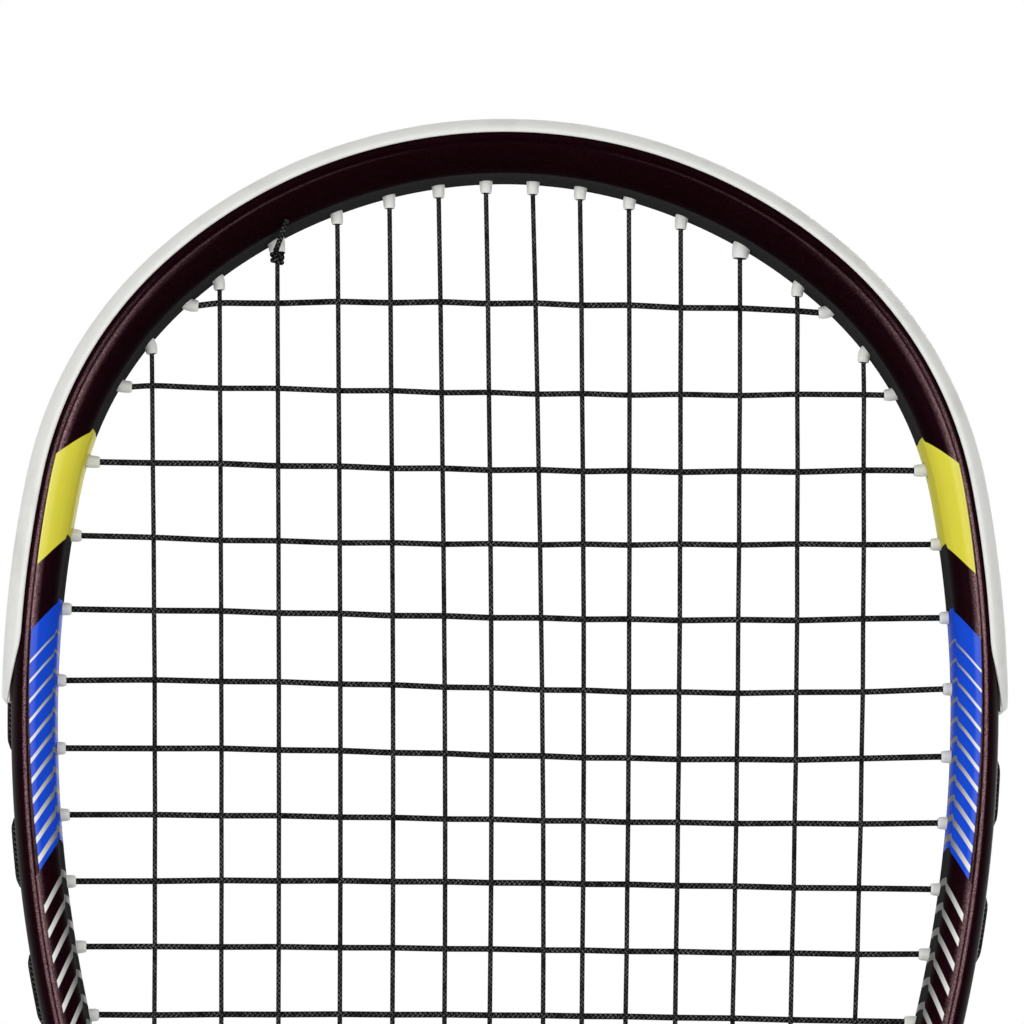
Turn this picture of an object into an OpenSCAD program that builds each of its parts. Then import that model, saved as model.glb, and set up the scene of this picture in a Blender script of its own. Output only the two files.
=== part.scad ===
// Squash racket with a teardrop head, standing on its butt with the crown up.
// The string plane is XZ, the front faces -Y, and the origin is the centre of the butt face.

/* [Head] */
// Overall length, from the butt face to the top of the bumper
racket_l = 686; // [680:1:686]
// Radius of the crown, along the middle of the tube
crown_r = 102; // [101.5:0.5:102.5]
// Radius of the shoulders
shoulder_r = 80; // [79.5:0.5:80.5]
// Radius of the sides above the widest place
flank_r = 243; // [240:1:246]
// Radius of the sides below the widest place
side_r = 298; // [296:1:300]
// Slope of the straight legs of the throat, in degrees from the shaft
leg_slope = 29.5; // [29:0.5:30]

/* [Tube] */
// Width of the tube, in the string plane
tube_w = 10; // [10:0.1:10.2]
// Radius at the bottom of the open throat
crotch_r = 4.5; // [4:0.1:5]
// Radius of the fillet from each leg into the shaft
yoke_r = 45; // [42:1:45]
// Width of the shaft
shaft_w = 19; // [18.6:0.1:19]

/* [Grommets] */
// Height of the bumper over the tube
bumper_t = 2; // [1.8:0.1:2.2]
// Outer diameter of a grommet barrel
barrel_d = 2.8; // [2.7:0.1:2.9]
// Bore of a grommet barrel
bore_d = 1.8; // [1.7:0.1:1.8]
// Outer diameter of a tie-off barrel, which holds two strings
tie_barrel_d = 3.9; // [3.8:0.1:4]
// Bore of a tie-off barrel
tie_bore_d = 3; // [3:0.1:3.1]
// Length of a barrel that stands out inside the head
peg_l = 2.5; // [2.2:0.1:2.8]

/* [Strings] */
// String diameter
string_d = 1.2; // [1.1:0.05:1.25]
// Main spacing at the middle of the head
main_pitch = 9.75; // [9.7:0.05:9.8]
// Cross spacing between the first two crosses
cross_gap_first = 17.4; // [17.3:0.1:17.5]
// Cross spacing in the upper half
cross_gap_top = 15.6; // [15.5:0.1:15.7]
// Closest cross spacing, just below the widest place
cross_gap_mid = 13.6; // [13.5:0.1:13.7]

/* [Handle] */
// Width of the handle core
core_w = 26; // [25.5:0.5:26]
// Depth of the handle core
core_d = 23; // [22.5:0.5:23]
// Thickness of the grip tape
grip_t = 1.8; // [1.6:0.1:2]
// Height at which the grip tape ends
grip_top = 204; // [200:1:206]
// Travel of the collar along the shaft
collar_travel = 60; // [40:5:60]

/* [Hidden] */
$fn = 48;

// Plan of the hoop. A station is an angle in degrees from the crown as far as leg_a, and each
// unit beyond that is one millimetre down the straight leg. Stations below zero are on the left.
tube_h = tube_w / 2;
crown_z = racket_l - bumper_t - tube_h;
crown_turn = 42.6;
shoulder_turn = 79.4;
leg_a = 90 + leg_slope;
function n(a) = [sin(a), cos(a)];
crown_c = [0, crown_z - crown_r];
shoulder_c = crown_c + (crown_r - shoulder_r) * n(crown_turn);
flank_c = shoulder_c + (shoulder_r - flank_r) * n(shoulder_turn);
side_c = flank_c + (flank_r - side_r) * n(90);
leg_start = side_c + side_r * n(leg_a);
leg_dir = [cos(leg_a), -sin(leg_a)];
function axis(s) =
    s < crown_turn ? crown_c + crown_r * n(s)
  : s < shoulder_turn ? shoulder_c + shoulder_r * n(s)
  : s < 90 ? flank_c + flank_r * n(s)
  : s < leg_a ? side_c + side_r * n(s)
  : leg_start + (s - leg_a) * leg_dir;
function radius(s) = s < crown_turn ? crown_r : s < shoulder_turn ? shoulder_r : s < 90 ? flank_r : side_r;
function per_mm(s) = s < leg_a ? 180 / PI / radius(s) : 1;
function turn(s) = min(abs(s), leg_a) * (s < 0 ? -1 : 1);
// Plan point at a station, u millimetres outward from the middle of the tube
function at(s, u) =
    let (p = axis(abs(s)) + u * n(min(abs(s), leg_a)))
    [s < 0 ? -p.x : p.x, p.y];
// The same point in space, v millimetres behind the string plane
function spot(s, u, v) = let (p = at(s, u)) [p.x, v, p.y];
function lerp(a, b, t) = a + (b - a) * t;
function flip(list) = [for (i = [len(list) - 1:-1:0]) list[i]];
function root(f, lo, hi, k = 26) =
    let (m = (lo + hi) / 2)
    k == 0 ? m : f(m) * f(lo) > 0 ? root(f, m, hi, k - 1) : root(f, lo, m, k - 1);

// Throat: the legs end in an arc at the bottom of the V and in a fillet on each side of the shaft
crotch_tip = at(leg_a, -tube_h) + leg_dir * (at(leg_a, -tube_h).x / -leg_dir.x);
crotch_c = crotch_tip + [0, crotch_r / sin(leg_slope)];
yoke_z = (at(leg_a, tube_h) + leg_dir * ((at(leg_a, tube_h).x - shaft_w / 2) / -leg_dir.x)).y
         - yoke_r * tan(leg_slope / 2);
yoke_c = [shaft_w / 2 + yoke_r, yoke_z];
leg_l = (at(leg_a, tube_h).x - yoke_c.x + yoke_r * sin(leg_a)) / -leg_dir.x;
leg_end = leg_a + leg_l;
throat_steps = 9;
crotch_step = 5;
shaft_low = 32;
function throat_in(k) =
    k <= crotch_step
    ? crotch_c + crotch_r * n(lerp(leg_a, 180, (k - 1) / (crotch_step - 1)))
    : [0, lerp(crotch_c.y - crotch_r, yoke_z, (k - crotch_step) / (throat_steps - crotch_step))];
function throat_out(k) = yoke_c - yoke_r * n(lerp(leg_a, 90, k / throat_steps));

// Half sections of the tube and the shaft, from the inner wall to the outer wall:
// share of the width, distance from the string plane
tube_section = [[0, 6.2], [0.04, 7], [0.56, 9.6], [0.68, 10], [0.83, 9.3], [0.96, 7.4],
                [1, 5.6], [1, 4.2], [0.8, 4]];
shaft_section = [[0, 8], [0.12, 8], [0.45, 7.9], [0.6, 7.7], [0.78, 7], [0.93, 5.4],
                 [0.985, 3.8], [0.997, 2.2], [1, 0.8]];
// The same for the hollow inside, about 1.6 mm under the surface
tube_hollow = [[0.16, 5], [0.54, 7.7], [0.68, 8.2], [0.8, 7.4], [0.84, 5.9], [0.64, 5.4]];
shaft_hollow = [[0.17, 6.3], [0.45, 6.2], [0.6, 6], [0.74, 5.3], [0.83, 4], [0.84, 1.4]];

function steps(from, to, count) = [for (k = [0:count - 1]) lerp(from, to, k / count)];
crown_stations = concat(steps(0, crown_turn, 7), steps(crown_turn, shoulder_turn, 8));
hoop_stations = concat(crown_stations, steps(shoulder_turn, 90, 3), steps(90, leg_a, 7),
                       steps(leg_a, leg_end, 3), [leg_end]);
crotch_ring = len(hoop_stations) + crotch_step - 1;
// Inner and outer plan points of each rib of one half, crown to shaft end, and how far each has
// changed from the tube's section to the shaft's
function ribs(end_z) = [
    for (s = hoop_stations) [at(s, -tube_h), at(s, tube_h), 0],
    for (k = [1:throat_steps]) [throat_in(k), throat_out(k), (k - 1) / (throat_steps - 1)],
    [[0, end_z], [shaft_w / 2, end_z], 1]
];
function rib_point(rib, q, side) = let (p = lerp(rib[0], rib[1], q[0])) [p.x, q[1] * side, p.y];
function rib_ring(rib, from, to) =
    let (section = lerp(from, to, rib[2]))
    concat([for (q = section) rib_point(rib, q, 1)], [for (q = flip(section)) rib_point(rib, q, -1)]);
function left(points) = [for (p = points) [-p.x, p.y, p.z]];

// Faces of a run of rings. The cap joins each point to its partner from the other end of the ring.
function strip_faces(a, b, j, k) = [[a + j, b + k, a + k], [a + j, b + j, b + k]];
function cap_faces(first, count) = [
    for (j = [0:count / 2 - 2]) each
        [[first + j, first + j + 1, first + count - 2 - j],
         [first + j, first + count - 2 - j, first + count - 1 - j]]
];
function reverse_faces(faces) = [for (f = faces) flip(f)];
function sweep_faces(rings, count) = concat(
    [for (i = [0:rings - 2], j = [0:count - 1])
        each strip_faces(i * count, (i + 1) * count, j, (j + 1) % count)],
    cap_faces(0, count),
    reverse_faces(cap_faces((rings - 1) * count, count)));
module sweep(rings) {
    polyhedron([for (r = rings) each r], sweep_faces(len(rings), len(rings[0])));
}

// String layout: mains counted from the middle to each side, crosses from the crown down
mains = 7;
crosses = 17;
main_spread = 0.041;
main_fan = 0.00022;
fan_z = 600;
first_cross_z = crown_z - 32.4;
cross_gap_step = 0.6;
cross_gap_low = 13.8;
cross_gap_growth = 0.9;
last_even_cross = 4;
last_close_cross = 10;
string_r = string_d / 2;
function main_x(j, z) =
    let (t = j - 0.5)
    (main_pitch * t + main_spread * pow(t, 3)) * (1 + main_fan * (z - fan_z));
function cross_gap(k) =
    k == 1 ? cross_gap_first
  : k <= last_close_cross
    ? max(cross_gap_mid, cross_gap_top - cross_gap_step * max(0, k - last_even_cross))
  : cross_gap_low + cross_gap_growth * (k - last_close_cross);
function cross_z(k) = k == 1 ? first_cross_z : cross_z(k - 1) - cross_gap(k - 1);
// A string crosses the middle of its peg, and bends just past the end of it
peg_u = -tube_h - 1.3;
bend_u = -tube_h - peg_l - 0.5;
function main_miss(j) = function (s) at(s, peg_u).x - main_x(j, at(s, peg_u).y);
main_top = [for (j = [1:mains]) root(main_miss(j), 0, 90)];
main_low = [for (j = [1:mains]) root(main_miss(j), 90, leg_end)];
function cross_miss(k) = function (s) at(s, peg_u).y - cross_z(k);
cross_at = [for (k = [1:crosses]) root(cross_miss(k), 20, leg_end)];

// Holes as station and kind: kind 1 is a tie-off hole for two strings
tie_main_top = 5;
tie_mains_low = [5, 6];
last_bumper_cross = 6;
last_side_cross = 13;
function tie(list, j) = len(search(j, list)) > 0 ? 1 : 0;
bumper_holes = concat(
    [for (j = [1:mains]) [main_top[j - 1], tie([tie_main_top], j)]],
    [for (k = [1:last_bumper_cross]) [cross_at[k - 1], 0]]);
side_holes = [for (k = [last_bumper_cross + 1:last_side_cross]) [cross_at[k - 1], 0]];
throat_holes = concat(
    [for (k = [last_side_cross + 1:crosses]) [cross_at[k - 1], 0]],
    [for (j = [1:mains]) [main_low[j - 1], tie(tie_mains_low, j)]]);
hole_gap = 0.25;
function outer_d(hole) = hole[1] == 1 ? tie_barrel_d : barrel_d;
function inner_d(hole) = hole[1] == 1 ? tie_bore_d : bore_d;

module along(s) {
    translate(spot(s, 0, 0)) rotate([0, turn(s), 0]) children();
}

module frame_skin() {
    half = [for (rib = ribs(shaft_low)) each rib_ring(rib, tube_section, shaft_section)];
    count = 2 * len(tube_section);
    rings = len(half) / count;
    // Below the bottom of the V both halves meet on the middle plane and have no wall there
    faces = concat(
        [for (i = [0:rings - 2], j = [0:count - 1]) if (j < count - 1 || i < crotch_ring)
            each strip_faces(i * count, (i + 1) * count, j, (j + 1) % count)],
        reverse_faces(cap_faces((rings - 1) * count, count)));
    other = [for (f = reverse_faces(faces)) [for (v = f) v + len(half)]];
    polyhedron(concat(half, left(half)), concat(faces, other));
}

module frame_hollow() {
    half = [for (rib = ribs(shaft_low - 1)) rib_ring(rib, tube_hollow, shaft_hollow)];
    sweep(concat([for (i = [len(half) - 1:-1:1]) left(half[i])], half));
}

module frame() {
    color("#2c1118") difference() {
        frame_skin();
        frame_hollow();
        for (hole = concat(bumper_holes, side_holes, throat_holes), side = [-1, 1])
            along(side * hole[0])
                cylinder(h = tube_w + 2, d = outer_d(hole) + 2 * hole_gap, center = true);
    }
}

// Grommet strips lie in the groove of the tube. floor_u is the face that the string lies on.
strip_u = tube_h - 1.7;
floor_u = tube_h - 0.6;
strip_half = 3.6;
barrel_tip = 0.5;
barrel_root = 0.4;
module barrels(holes, sides) {
    base = -tube_h - peg_l + barrel_tip;
    for (hole = holes, side = sides)
        along(side * hole[0]) {
            translate([0, 0, base]) cylinder(h = strip_u + barrel_root - base, d = outer_d(hole));
            translate([0, 0, base - barrel_tip])
                cylinder(h = barrel_tip, d1 = outer_d(hole) - barrel_tip, d2 = outer_d(hole));
        }
}
module bores(holes, sides) {
    base = -tube_h - peg_l - 1;
    for (hole = holes, side = sides)
        along(side * hole[0]) translate([0, 0, base]) cylinder(h = floor_u + 1 - base, d = inner_d(hole));
}

// Half section of the bumper as pairs: a point on the tube's side and its partner outside
rim_u = tube_h + bumper_t;
bumper_inside = [[strip_u, 1.2], [strip_u, strip_half], [tube_h + 0.3, 3.85], [tube_h + 0.3, 5.75],
                 [tube_h - 0.05, 7.6], [tube_h - 0.8, 8.8], [tube_h - 1.75, 9.6]];
bumper_outside = [[floor_u, 1.2], [floor_u, 2.75], [rim_u - 0.3, 2.85], [rim_u, 3.6],
                  [rim_u - 0.2, 5.8], [rim_u - 1.1, 8], [rim_u - 3, 10]];
bumper_end = 90;
bumper_taper = 12.5 * per_mm(89);
flange_from = 4;
lip = [tube_h + 1, 5.4];
lip_reach = 0.1;
// The flange over the front of the tube shrinks to a lip at each end
function with_flange(side, reach) =
    [for (i = [0:len(side) - 1]) i < flange_from ? side[i] : lerp(lip, side[i], reach)];
function bumper_ring(s) =
    let (reach = lerp(lip_reach, 1, min(1, (bumper_end - abs(s)) / bumper_taper)),
         inside = with_flange(bumper_inside, reach),
         outside = with_flange(bumper_outside, reach))
    concat([for (q = flip(inside)) spot(s, q[0], -q[1])], [for (q = inside) spot(s, q[0], q[1])],
           [for (q = flip(outside)) spot(s, q[0], q[1])], [for (q = outside) spot(s, q[0], -q[1])]);
bumper_stations = concat(crown_stations, steps(shoulder_turn, bumper_end - bumper_taper, 2),
                         steps(bumper_end - bumper_taper, bumper_end, 3), [bumper_end]);

module bumper_guard() {
    rings = concat([for (i = [len(bumper_stations) - 1:-1:1]) bumper_ring(-bumper_stations[i])],
                   [for (s = bumper_stations) bumper_ring(s)]);
    color("#e6e7e2") difference() {
        union() {
            sweep(rings);
            barrels(bumper_holes, [-1, 1]);
        }
        bores(bumper_holes, [-1, 1]);
    }
}

function strip_ring(s) = [spot(s, strip_u, -strip_half), spot(s, strip_u, strip_half),
                          spot(s, floor_u, strip_half), spot(s, floor_u, -strip_half)];
module grommet_strip(stations, holes, side) {
    color("#e6e7e2") difference() {
        union() {
            sweep([for (s = side < 0 ? flip(stations) : stations) strip_ring(side * s)]);
            barrels(holes, [side]);
        }
        bores(holes, [side]);
    }
}
strip_gap = 0.3 * per_mm(100);
side_strip_from = bumper_end + 2 * strip_gap;
strip_split = (cross_at[last_side_cross - 1] + main_low[mains - 1]) / 2;
throat_strip_to = main_low[0] + 2.6;
side_stations = concat(steps(side_strip_from, strip_split - strip_gap, 8), [strip_split - strip_gap]);
throat_stations = concat(steps(strip_split + strip_gap, leg_a, 3), [leg_a, throat_strip_to]);
module side_strip_left() { grommet_strip(side_stations, side_holes, -1); }
module side_strip_right() { grommet_strip(side_stations, side_holes, 1); }
module throat_strip_left() { grommet_strip(throat_stations, throat_holes, -1); }
module throat_strip_right() { grommet_strip(throat_stations, throat_holes, 1); }

// Strings run through the barrels and along the floor of the groove, mains and crosses in
// lanes of their own on either side of the holes
lane = 1.85;
tie_v = 0.8;
weave = string_d + 0.3;
function hole_in(s, v) = spot(s, floor_u - 0.6, v);
function hole_tip(s, v) = spot(s, bend_u, v);
// Points outside the tube from hole s1 to hole s2: out of the first hole, along the lane, to the second
run_u = floor_u + 0.9;
climb_l = 3.4;
function climb(s, way, v, l) =
    let (mm = way * per_mm(abs(s)))
    [spot(s + 0.4 * mm, floor_u + 0.55, v), spot(s + 1.7 * mm, run_u, lerp(v, l, 0.35)),
     spot(s + climb_l * mm, run_u, l)];
function run(s1, s2, l, v1 = 0, v2 = 0) =
    let (way = s2 > s1 ? 1 : -1,
         count = max(2, ceil(norm(at(s1, tube_h) - at(s2, tube_h)) / 7)),
         a = s1 + way * climb_l * per_mm(abs(s1)),
         b = s2 - way * climb_l * per_mm(abs(s2)))
    concat(climb(s1, way, v1, l),
           [for (k = [1:count - 1]) spot(lerp(a, b, k / count), run_u, l)],
           flip(climb(s2, -way, v2, l)));

// Six-sided tube along a list of points
function unit(v) = v / norm(v);
function tube_ring(points, i) =
    let (before = points[max(0, i - 1)], after = points[min(len(points) - 1, i + 1)],
         t = unit(unit(points[i] - before + [0, 0, 1e-9]) + unit(after - points[i] + [0, 0, 1e-9])),
         b = unit(cross(t, [0, 1, 0])),
         c = cross(b, t))
    [for (k = [0:5]) points[i] + string_r * (cos(60 * k) * b - sin(60 * k) * c)];
module string(points) {
    count = 6;
    rings = len(points);
    faces = [for (i = [0:rings - 2], j = [0:count - 1]) each
        strip_faces(i * count, (i + 1) * count, j, (j + 1) % count)];
    first = [for (j = [1:count - 2]) [0, j, j + 1]];
    last = [for (f = first) [for (v = flip(f)) v + (rings - 1) * count]];
    polyhedron([for (i = [0:rings - 1]) each tube_ring(points, i)], concat(faces, first, last));
}

// Mains in order from left to right: side, count from the middle, stations of both ends
function main_side(i) = i <= mains ? -1 : 1;
function main_count(i) = i <= mains ? mains + 1 - i : i - mains;
function top_of(i) = main_side(i) * main_top[main_count(i) - 1];
function low_of(i) = main_side(i) * main_low[main_count(i) - 1];
function top_v(i) = main_count(i) == tie_main_top ? tie_v : 0;
function low_v(i) = tie(tie_mains_low, main_count(i)) ? tie_v : 0;
// Point of a main at a height, on its straight line from peg to peg
function main_at(i, z) =
    let (a = hole_tip(low_of(i), 0), b = hole_tip(top_of(i), 0))
    lerp(a, b, (z - a.z) / (b.z - a.z));
// A main that shares its hole is back in the string plane this far from the peg
settle = 6;
function low_settled(i) = main_at(i, hole_tip(low_of(i), 0).z + settle);
function top_settled(i) = main_at(i, hole_tip(top_of(i), 0).z - settle);
function main_up(i) = [hole_in(low_of(i), low_v(i)), hole_tip(low_of(i), low_v(i)), low_settled(i),
                       top_settled(i), hole_tip(top_of(i), top_v(i)), hole_in(top_of(i), top_v(i))];
// The free end of a string comes back in through a tie-off hole and stops at its knot
function tail(s, v) = [hole_in(s, v), hole_tip(s, v), hole_tip(s, v) + [0, -0.4, abs(s) < 90 ? -1 : 1]];
module main_string() {
    last = 2 * mains;
    tail_first = concat(flip(tail(low_of(2), -tie_v)), run(low_of(2), low_of(1), lane, -tie_v, 0));
    tail_last = concat(run(low_of(last), low_of(last - 1), lane, 0, -tie_v), tail(low_of(last - 1), -tie_v));
    bed = [for (i = [1:last]) each concat(
        i % 2 == 1 ? main_up(i) : flip(main_up(i)),
        i == last ? [] : i % 2 == 1 ? run(top_of(i), top_of(i + 1), lane, top_v(i), top_v(i + 1))
                                    : run(low_of(i), low_of(i + 1), lane, low_v(i), low_v(i + 1)))];
    color("#1b1b1c") string(concat(tail_first, bed, tail_last));
}

// One cross from left to right, over and under the mains that reach it
function cross_bed(k) =
    let (s = cross_at[k - 1], z = hole_tip(s, 0).z, reach = hole_tip(s, 0).x - 2.5)
    concat([hole_in(-s, 0), hole_tip(-s, 0)],
           [for (i = [1:2 * mains])
               let (x = main_at(i, z).x)
               if (abs(x) < reach) [x, (i + k) % 2 == 0 ? weave : -weave, z]],
           [hole_tip(s, 0), hole_in(s, 0)]);
module cross_string() {
    first_tie = top_of(mains + 1 - tie_main_top);
    last_tie = low_of(mains + tie_mains_low[0]);
    tail_first = concat(flip(tail(first_tie, -tie_v)), run(first_tie, -cross_at[0], -lane, -tie_v, 0));
    tail_last = concat(run(cross_at[crosses - 1], last_tie, -lane, 0, -tie_v), tail(last_tie, -tie_v));
    bed = [for (k = [1:crosses])
        let (s = cross_at[k - 1], next = cross_at[min(k, crosses - 1)])
        each concat(
            k % 2 == 1 ? cross_bed(k) : flip(cross_bed(k)),
            k == crosses ? [] : k % 2 == 1 ? run(s, next, -lane) : run(-s, -next, -lane))];
    color("#1b1b1c") string(concat(tail_first, bed, tail_last));
}

// A knot is two turns round a main, just past its tie-off peg
knot_out = 3.4;
knot_profile = [[0.85, -1.1], [1.5, -1.1], [1.9, -0.55], [1.55, 0], [1.9, 0.55], [1.5, 1.1], [0.85, 1.1]];
module knot(from, to) {
    way = unit(to - from);
    up = way.z < 0 ? -way : way;
    translate(from + knot_out * way)
        rotate([-asin(up.y), 0, 0]) rotate([0, atan2(up.x, up.z), 0])
            rotate_extrude($fn = 32) polygon(knot_profile);
}
module tie_off_knots() {
    top_tie = mains + 1 - tie_main_top;
    low_ties = [2, 2 * mains - 1, mains + tie_mains_low[0]];
    color("#1b1b1c") {
        knot(hole_tip(top_of(top_tie), tie_v), top_settled(top_tie));
        for (i = low_ties)
            knot(hole_tip(low_of(i), tie_v), low_settled(i));
    }
}

// Handle: bevelled rectangular sections round the shaft
core_bevel = 6;
core_top = 208;
tenon_in = 1;
tenon_top = 24;
fit_gap = 0.25;
cap_floor = 3.5;
flare_top = 12;
flare_out = 4;
function bevelled(w, d, b) =
    [[w / 2, d / 2 - b], [w / 2 - b, d / 2], [b - w / 2, d / 2], [-w / 2, d / 2 - b],
     [-w / 2, b - d / 2], [b - w / 2, -d / 2], [w / 2 - b, -d / 2], [w / 2, b - d / 2]];
// Outline that stands out (or in) from the handle core, with its bevels in step
function handle_outline(out) =
    bevelled(core_w + 2 * out, core_d + 2 * out, core_bevel + out * (2 - sqrt(2)));
module handle_section(out) { polygon(handle_outline(out)); }
module band(low, high, outside, inside) {
    translate([0, 0, low]) linear_extrude(high - low) difference() {
        handle_section(outside);
        handle_section(inside);
    }
}

module handle_core() {
    color("#c9b98a") difference() {
        union() {
            translate([0, 0, cap_floor + fit_gap])
                linear_extrude(tenon_top - cap_floor - fit_gap) handle_section(-tenon_in);
            translate([0, 0, tenon_top]) linear_extrude(core_top - tenon_top) handle_section(0);
        }
        translate([0, 0, shaft_low - fit_gap]) linear_extrude(core_top)
            square([shaft_w, 2 * shaft_section[0][1]] + 2 * [fit_gap, fit_gap], center = true);
        staple_legs(0.9);
    }
}

// Flare of the butt cap as heights and how far each stands out from the core
flare = [[0, flare_out - 0.8], [1, flare_out], [7, flare_out], [flare_top - fit_gap, grip_t + fit_gap]];
module butt_cap() {
    color("#17181a") difference() {
        union() {
            sweep([for (q = flare) [for (p = handle_outline(q[1])) [p.x, p.y, q[0]]]]);
            translate([0, 0, cap_floor]) linear_extrude(tenon_top - fit_gap - cap_floor) handle_section(0);
        }
        translate([0, 0, cap_floor]) linear_extrude(tenon_top) handle_section(fit_gap - tenon_in);
        staple_legs(0.9);
    }
}

// Two wire staples hold the cap to the core, one on the front and one on the back
staple_z = 18;
staple_w = 8;
staple_wire = 0.6;
staple_leg = 6;
module staple_legs(d) {
    for (side = [-1, 1], x = [-0.5, 0.5])
        translate([x * staple_w, side * (core_d / 2 + 0.1), staple_z])
            rotate([side * 90, 0, 0]) cylinder(h = staple_leg, d = d);
}
module butt_cap_staples() {
    color("#b9bcc0") {
        staple_legs(staple_wire);
        for (side = [-1, 1])
            translate([0, side * (core_d / 2 + fit_gap), staple_z])
                cube([staple_w + staple_wire, 2 * fit_gap - 0.1, staple_wire], center = true);
    }
}

// The lower end of the grip is relieved for the staples
module grip_tape() {
    color("#202124") difference() {
        band(flare_top, grip_top, grip_t + fit_gap, fit_gap);
        translate([0, 0, flare_top - 1]) linear_extrude(tenon_top - flare_top + 1)
            handle_section(0.8);
    }
}

tape_t = 0.3;
tape_low = grip_top - 5;
tape_top = grip_top + 2;
module finishing_tape() {
    inside = grip_t + 2 * fit_gap;
    color("#101114") band(tape_low, tape_top, inside + tape_t, inside);
}

// Rubber collar: a skirt over the end of the grip and a neck round the shaft
collar_low = grip_top - 9;
collar_neck_r = 10.8;
collar_skirt_r = 17.5;
collar_h = 32;
assert(collar_low + collar_h + collar_travel < yoke_z, "the collar runs off the straight shaft");
module collar() {
    wall = 1.6;
    profile = [[collar_skirt_r, 0], [collar_skirt_r + wall, 0], [collar_skirt_r + wall + 0.4, 2],
               [collar_skirt_r + wall, 5], [collar_skirt_r + 0.6, 14], [collar_neck_r + wall + 1, 22],
               [collar_neck_r + wall, collar_h - 1], [collar_neck_r + wall - 0.5, collar_h],
               [collar_neck_r, collar_h], [collar_neck_r, 21], [collar_skirt_r, 13.5]];
    color("#141416") translate([0, 0, collar_low]) rotate_extrude() polygon(profile);
}

frame();
bumper_guard();
side_strip_left();
side_strip_right();
throat_strip_left();
throat_strip_right();
main_string();
cross_string();
tie_off_knots();
handle_core();
butt_cap();
butt_cap_staples();
grip_tape();
finishing_tape();
collar();
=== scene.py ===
import math
import random

import bmesh
import bpy
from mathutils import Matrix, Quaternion, Vector


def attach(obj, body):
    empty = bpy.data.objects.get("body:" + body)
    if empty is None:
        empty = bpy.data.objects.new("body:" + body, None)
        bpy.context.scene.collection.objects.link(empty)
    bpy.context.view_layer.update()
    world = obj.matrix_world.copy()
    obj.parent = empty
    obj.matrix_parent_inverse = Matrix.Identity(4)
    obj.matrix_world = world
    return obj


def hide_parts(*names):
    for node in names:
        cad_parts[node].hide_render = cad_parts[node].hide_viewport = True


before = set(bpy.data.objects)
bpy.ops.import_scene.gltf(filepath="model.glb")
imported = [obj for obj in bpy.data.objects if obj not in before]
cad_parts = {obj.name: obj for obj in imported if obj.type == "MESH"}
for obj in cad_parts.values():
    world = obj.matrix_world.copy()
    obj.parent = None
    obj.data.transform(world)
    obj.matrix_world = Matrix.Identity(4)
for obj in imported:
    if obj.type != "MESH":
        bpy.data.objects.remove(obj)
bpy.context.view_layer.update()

bl_info = {
    "name": "Squash Racket",
    "version": (1, 0, 0),
    "blender": (4, 5, 0),
    "location": "3D View > Sidebar > Racket",
    "description": "Dresses the solids of a squash racket: lacquered hoop, nylon grommets, strings and grip",
    "category": "Object",
}

MM = 0.001
RACKET, COLLAR = "racket", "collar"
SURFACE = "Surface"


# Settings that a user may change

def size(name, text, metres):
    return bpy.props.FloatProperty(name=name, description=text, default=metres, min=0.0,
                                   precision=5, unit="LENGTH", subtype="DISTANCE")


def place(name, text, point):
    return bpy.props.FloatVectorProperty(name=name, description=text, default=point, size=3,
                                         unit="LENGTH", subtype="TRANSLATION")


def colour(name, text, rgb):
    return bpy.props.FloatVectorProperty(name=name, description=text, default=rgb, size=3,
                                         min=0.0, max=1.0, subtype="COLOR")


class HoopSettings(bpy.types.PropertyGroup):
    """Shape and paint of the moulded hoop."""
    length: size("Length", "From the butt face to the top of the bumper", 0.686)
    crown_radius: size("Crown radius", "Radius of the crown along the middle of the tube", 0.102)
    shoulder_radius: size("Shoulder radius", "Radius of the shoulders", 0.080)
    flank_radius: size("Flank radius", "Radius of the sides above the widest place", 0.243)
    side_radius: size("Side radius", "Radius of the sides below the widest place", 0.298)
    tube_width: size("Tube width", "Width of the tube in the string plane", 0.010)
    crotch_radius: size("Crotch radius", "Radius at the bottom of the open throat", 0.0045)
    yoke_radius: size("Yoke radius", "Fillet from each leg into the shaft", 0.045)
    shaft_width: size("Shaft width", "Width of the shaft", 0.019)
    shaft_low: size("Shaft end", "Height of the shaft's lower end", 0.032)
    maroon: colour("Maroon", "Lacquer between the flakes", (0.0050, 0.0006, 0.0017))
    # The metal flakes' colour, also used for the painted highlight beside the crease
    flake_and_highlight: colour("Flake", "Metal flakes in the lacquer", (0.5, 0.26, 0.29))
    wall: colour("Inner wall", "Bare inner wall of the tube", (0.026, 0.026, 0.026))
    yellow: colour("Yellow", "Yellow blocks on the shoulders", (0.68, 0.62, 0.0576))
    blue: colour("Blue", "Blue blocks on the sides", (0.0104, 0.0696, 0.63))
    silver: colour("Silver", "Outer ends of the slanted stripes, which fade inward", (0.82, 0.82, 0.79))


class GrommetSettings(bpy.types.PropertyGroup):
    """Nylon guard and strips with their barrels."""
    bumper_height: size("Bumper height", "Height of the bumper over the tube", 0.002)
    barrel: size("Barrel", "Outer diameter of a barrel", 0.0028)
    bore: size("Bore", "Bore of a barrel", 0.0018)
    tie_barrel: size("Tie-off barrel", "Outer diameter of a barrel that holds two strings", 0.0039)
    tie_bore: size("Tie-off bore", "Bore of a barrel that holds two strings", 0.0030)
    peg: size("Peg length", "Length of a barrel that stands out inside the head", 0.0025)
    nylon: colour("Nylon", "White nylon", (0.74, 0.745, 0.715))
    scuff: colour("Scuff", "Nylon where it is rubbed", (0.50, 0.50, 0.47))


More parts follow.
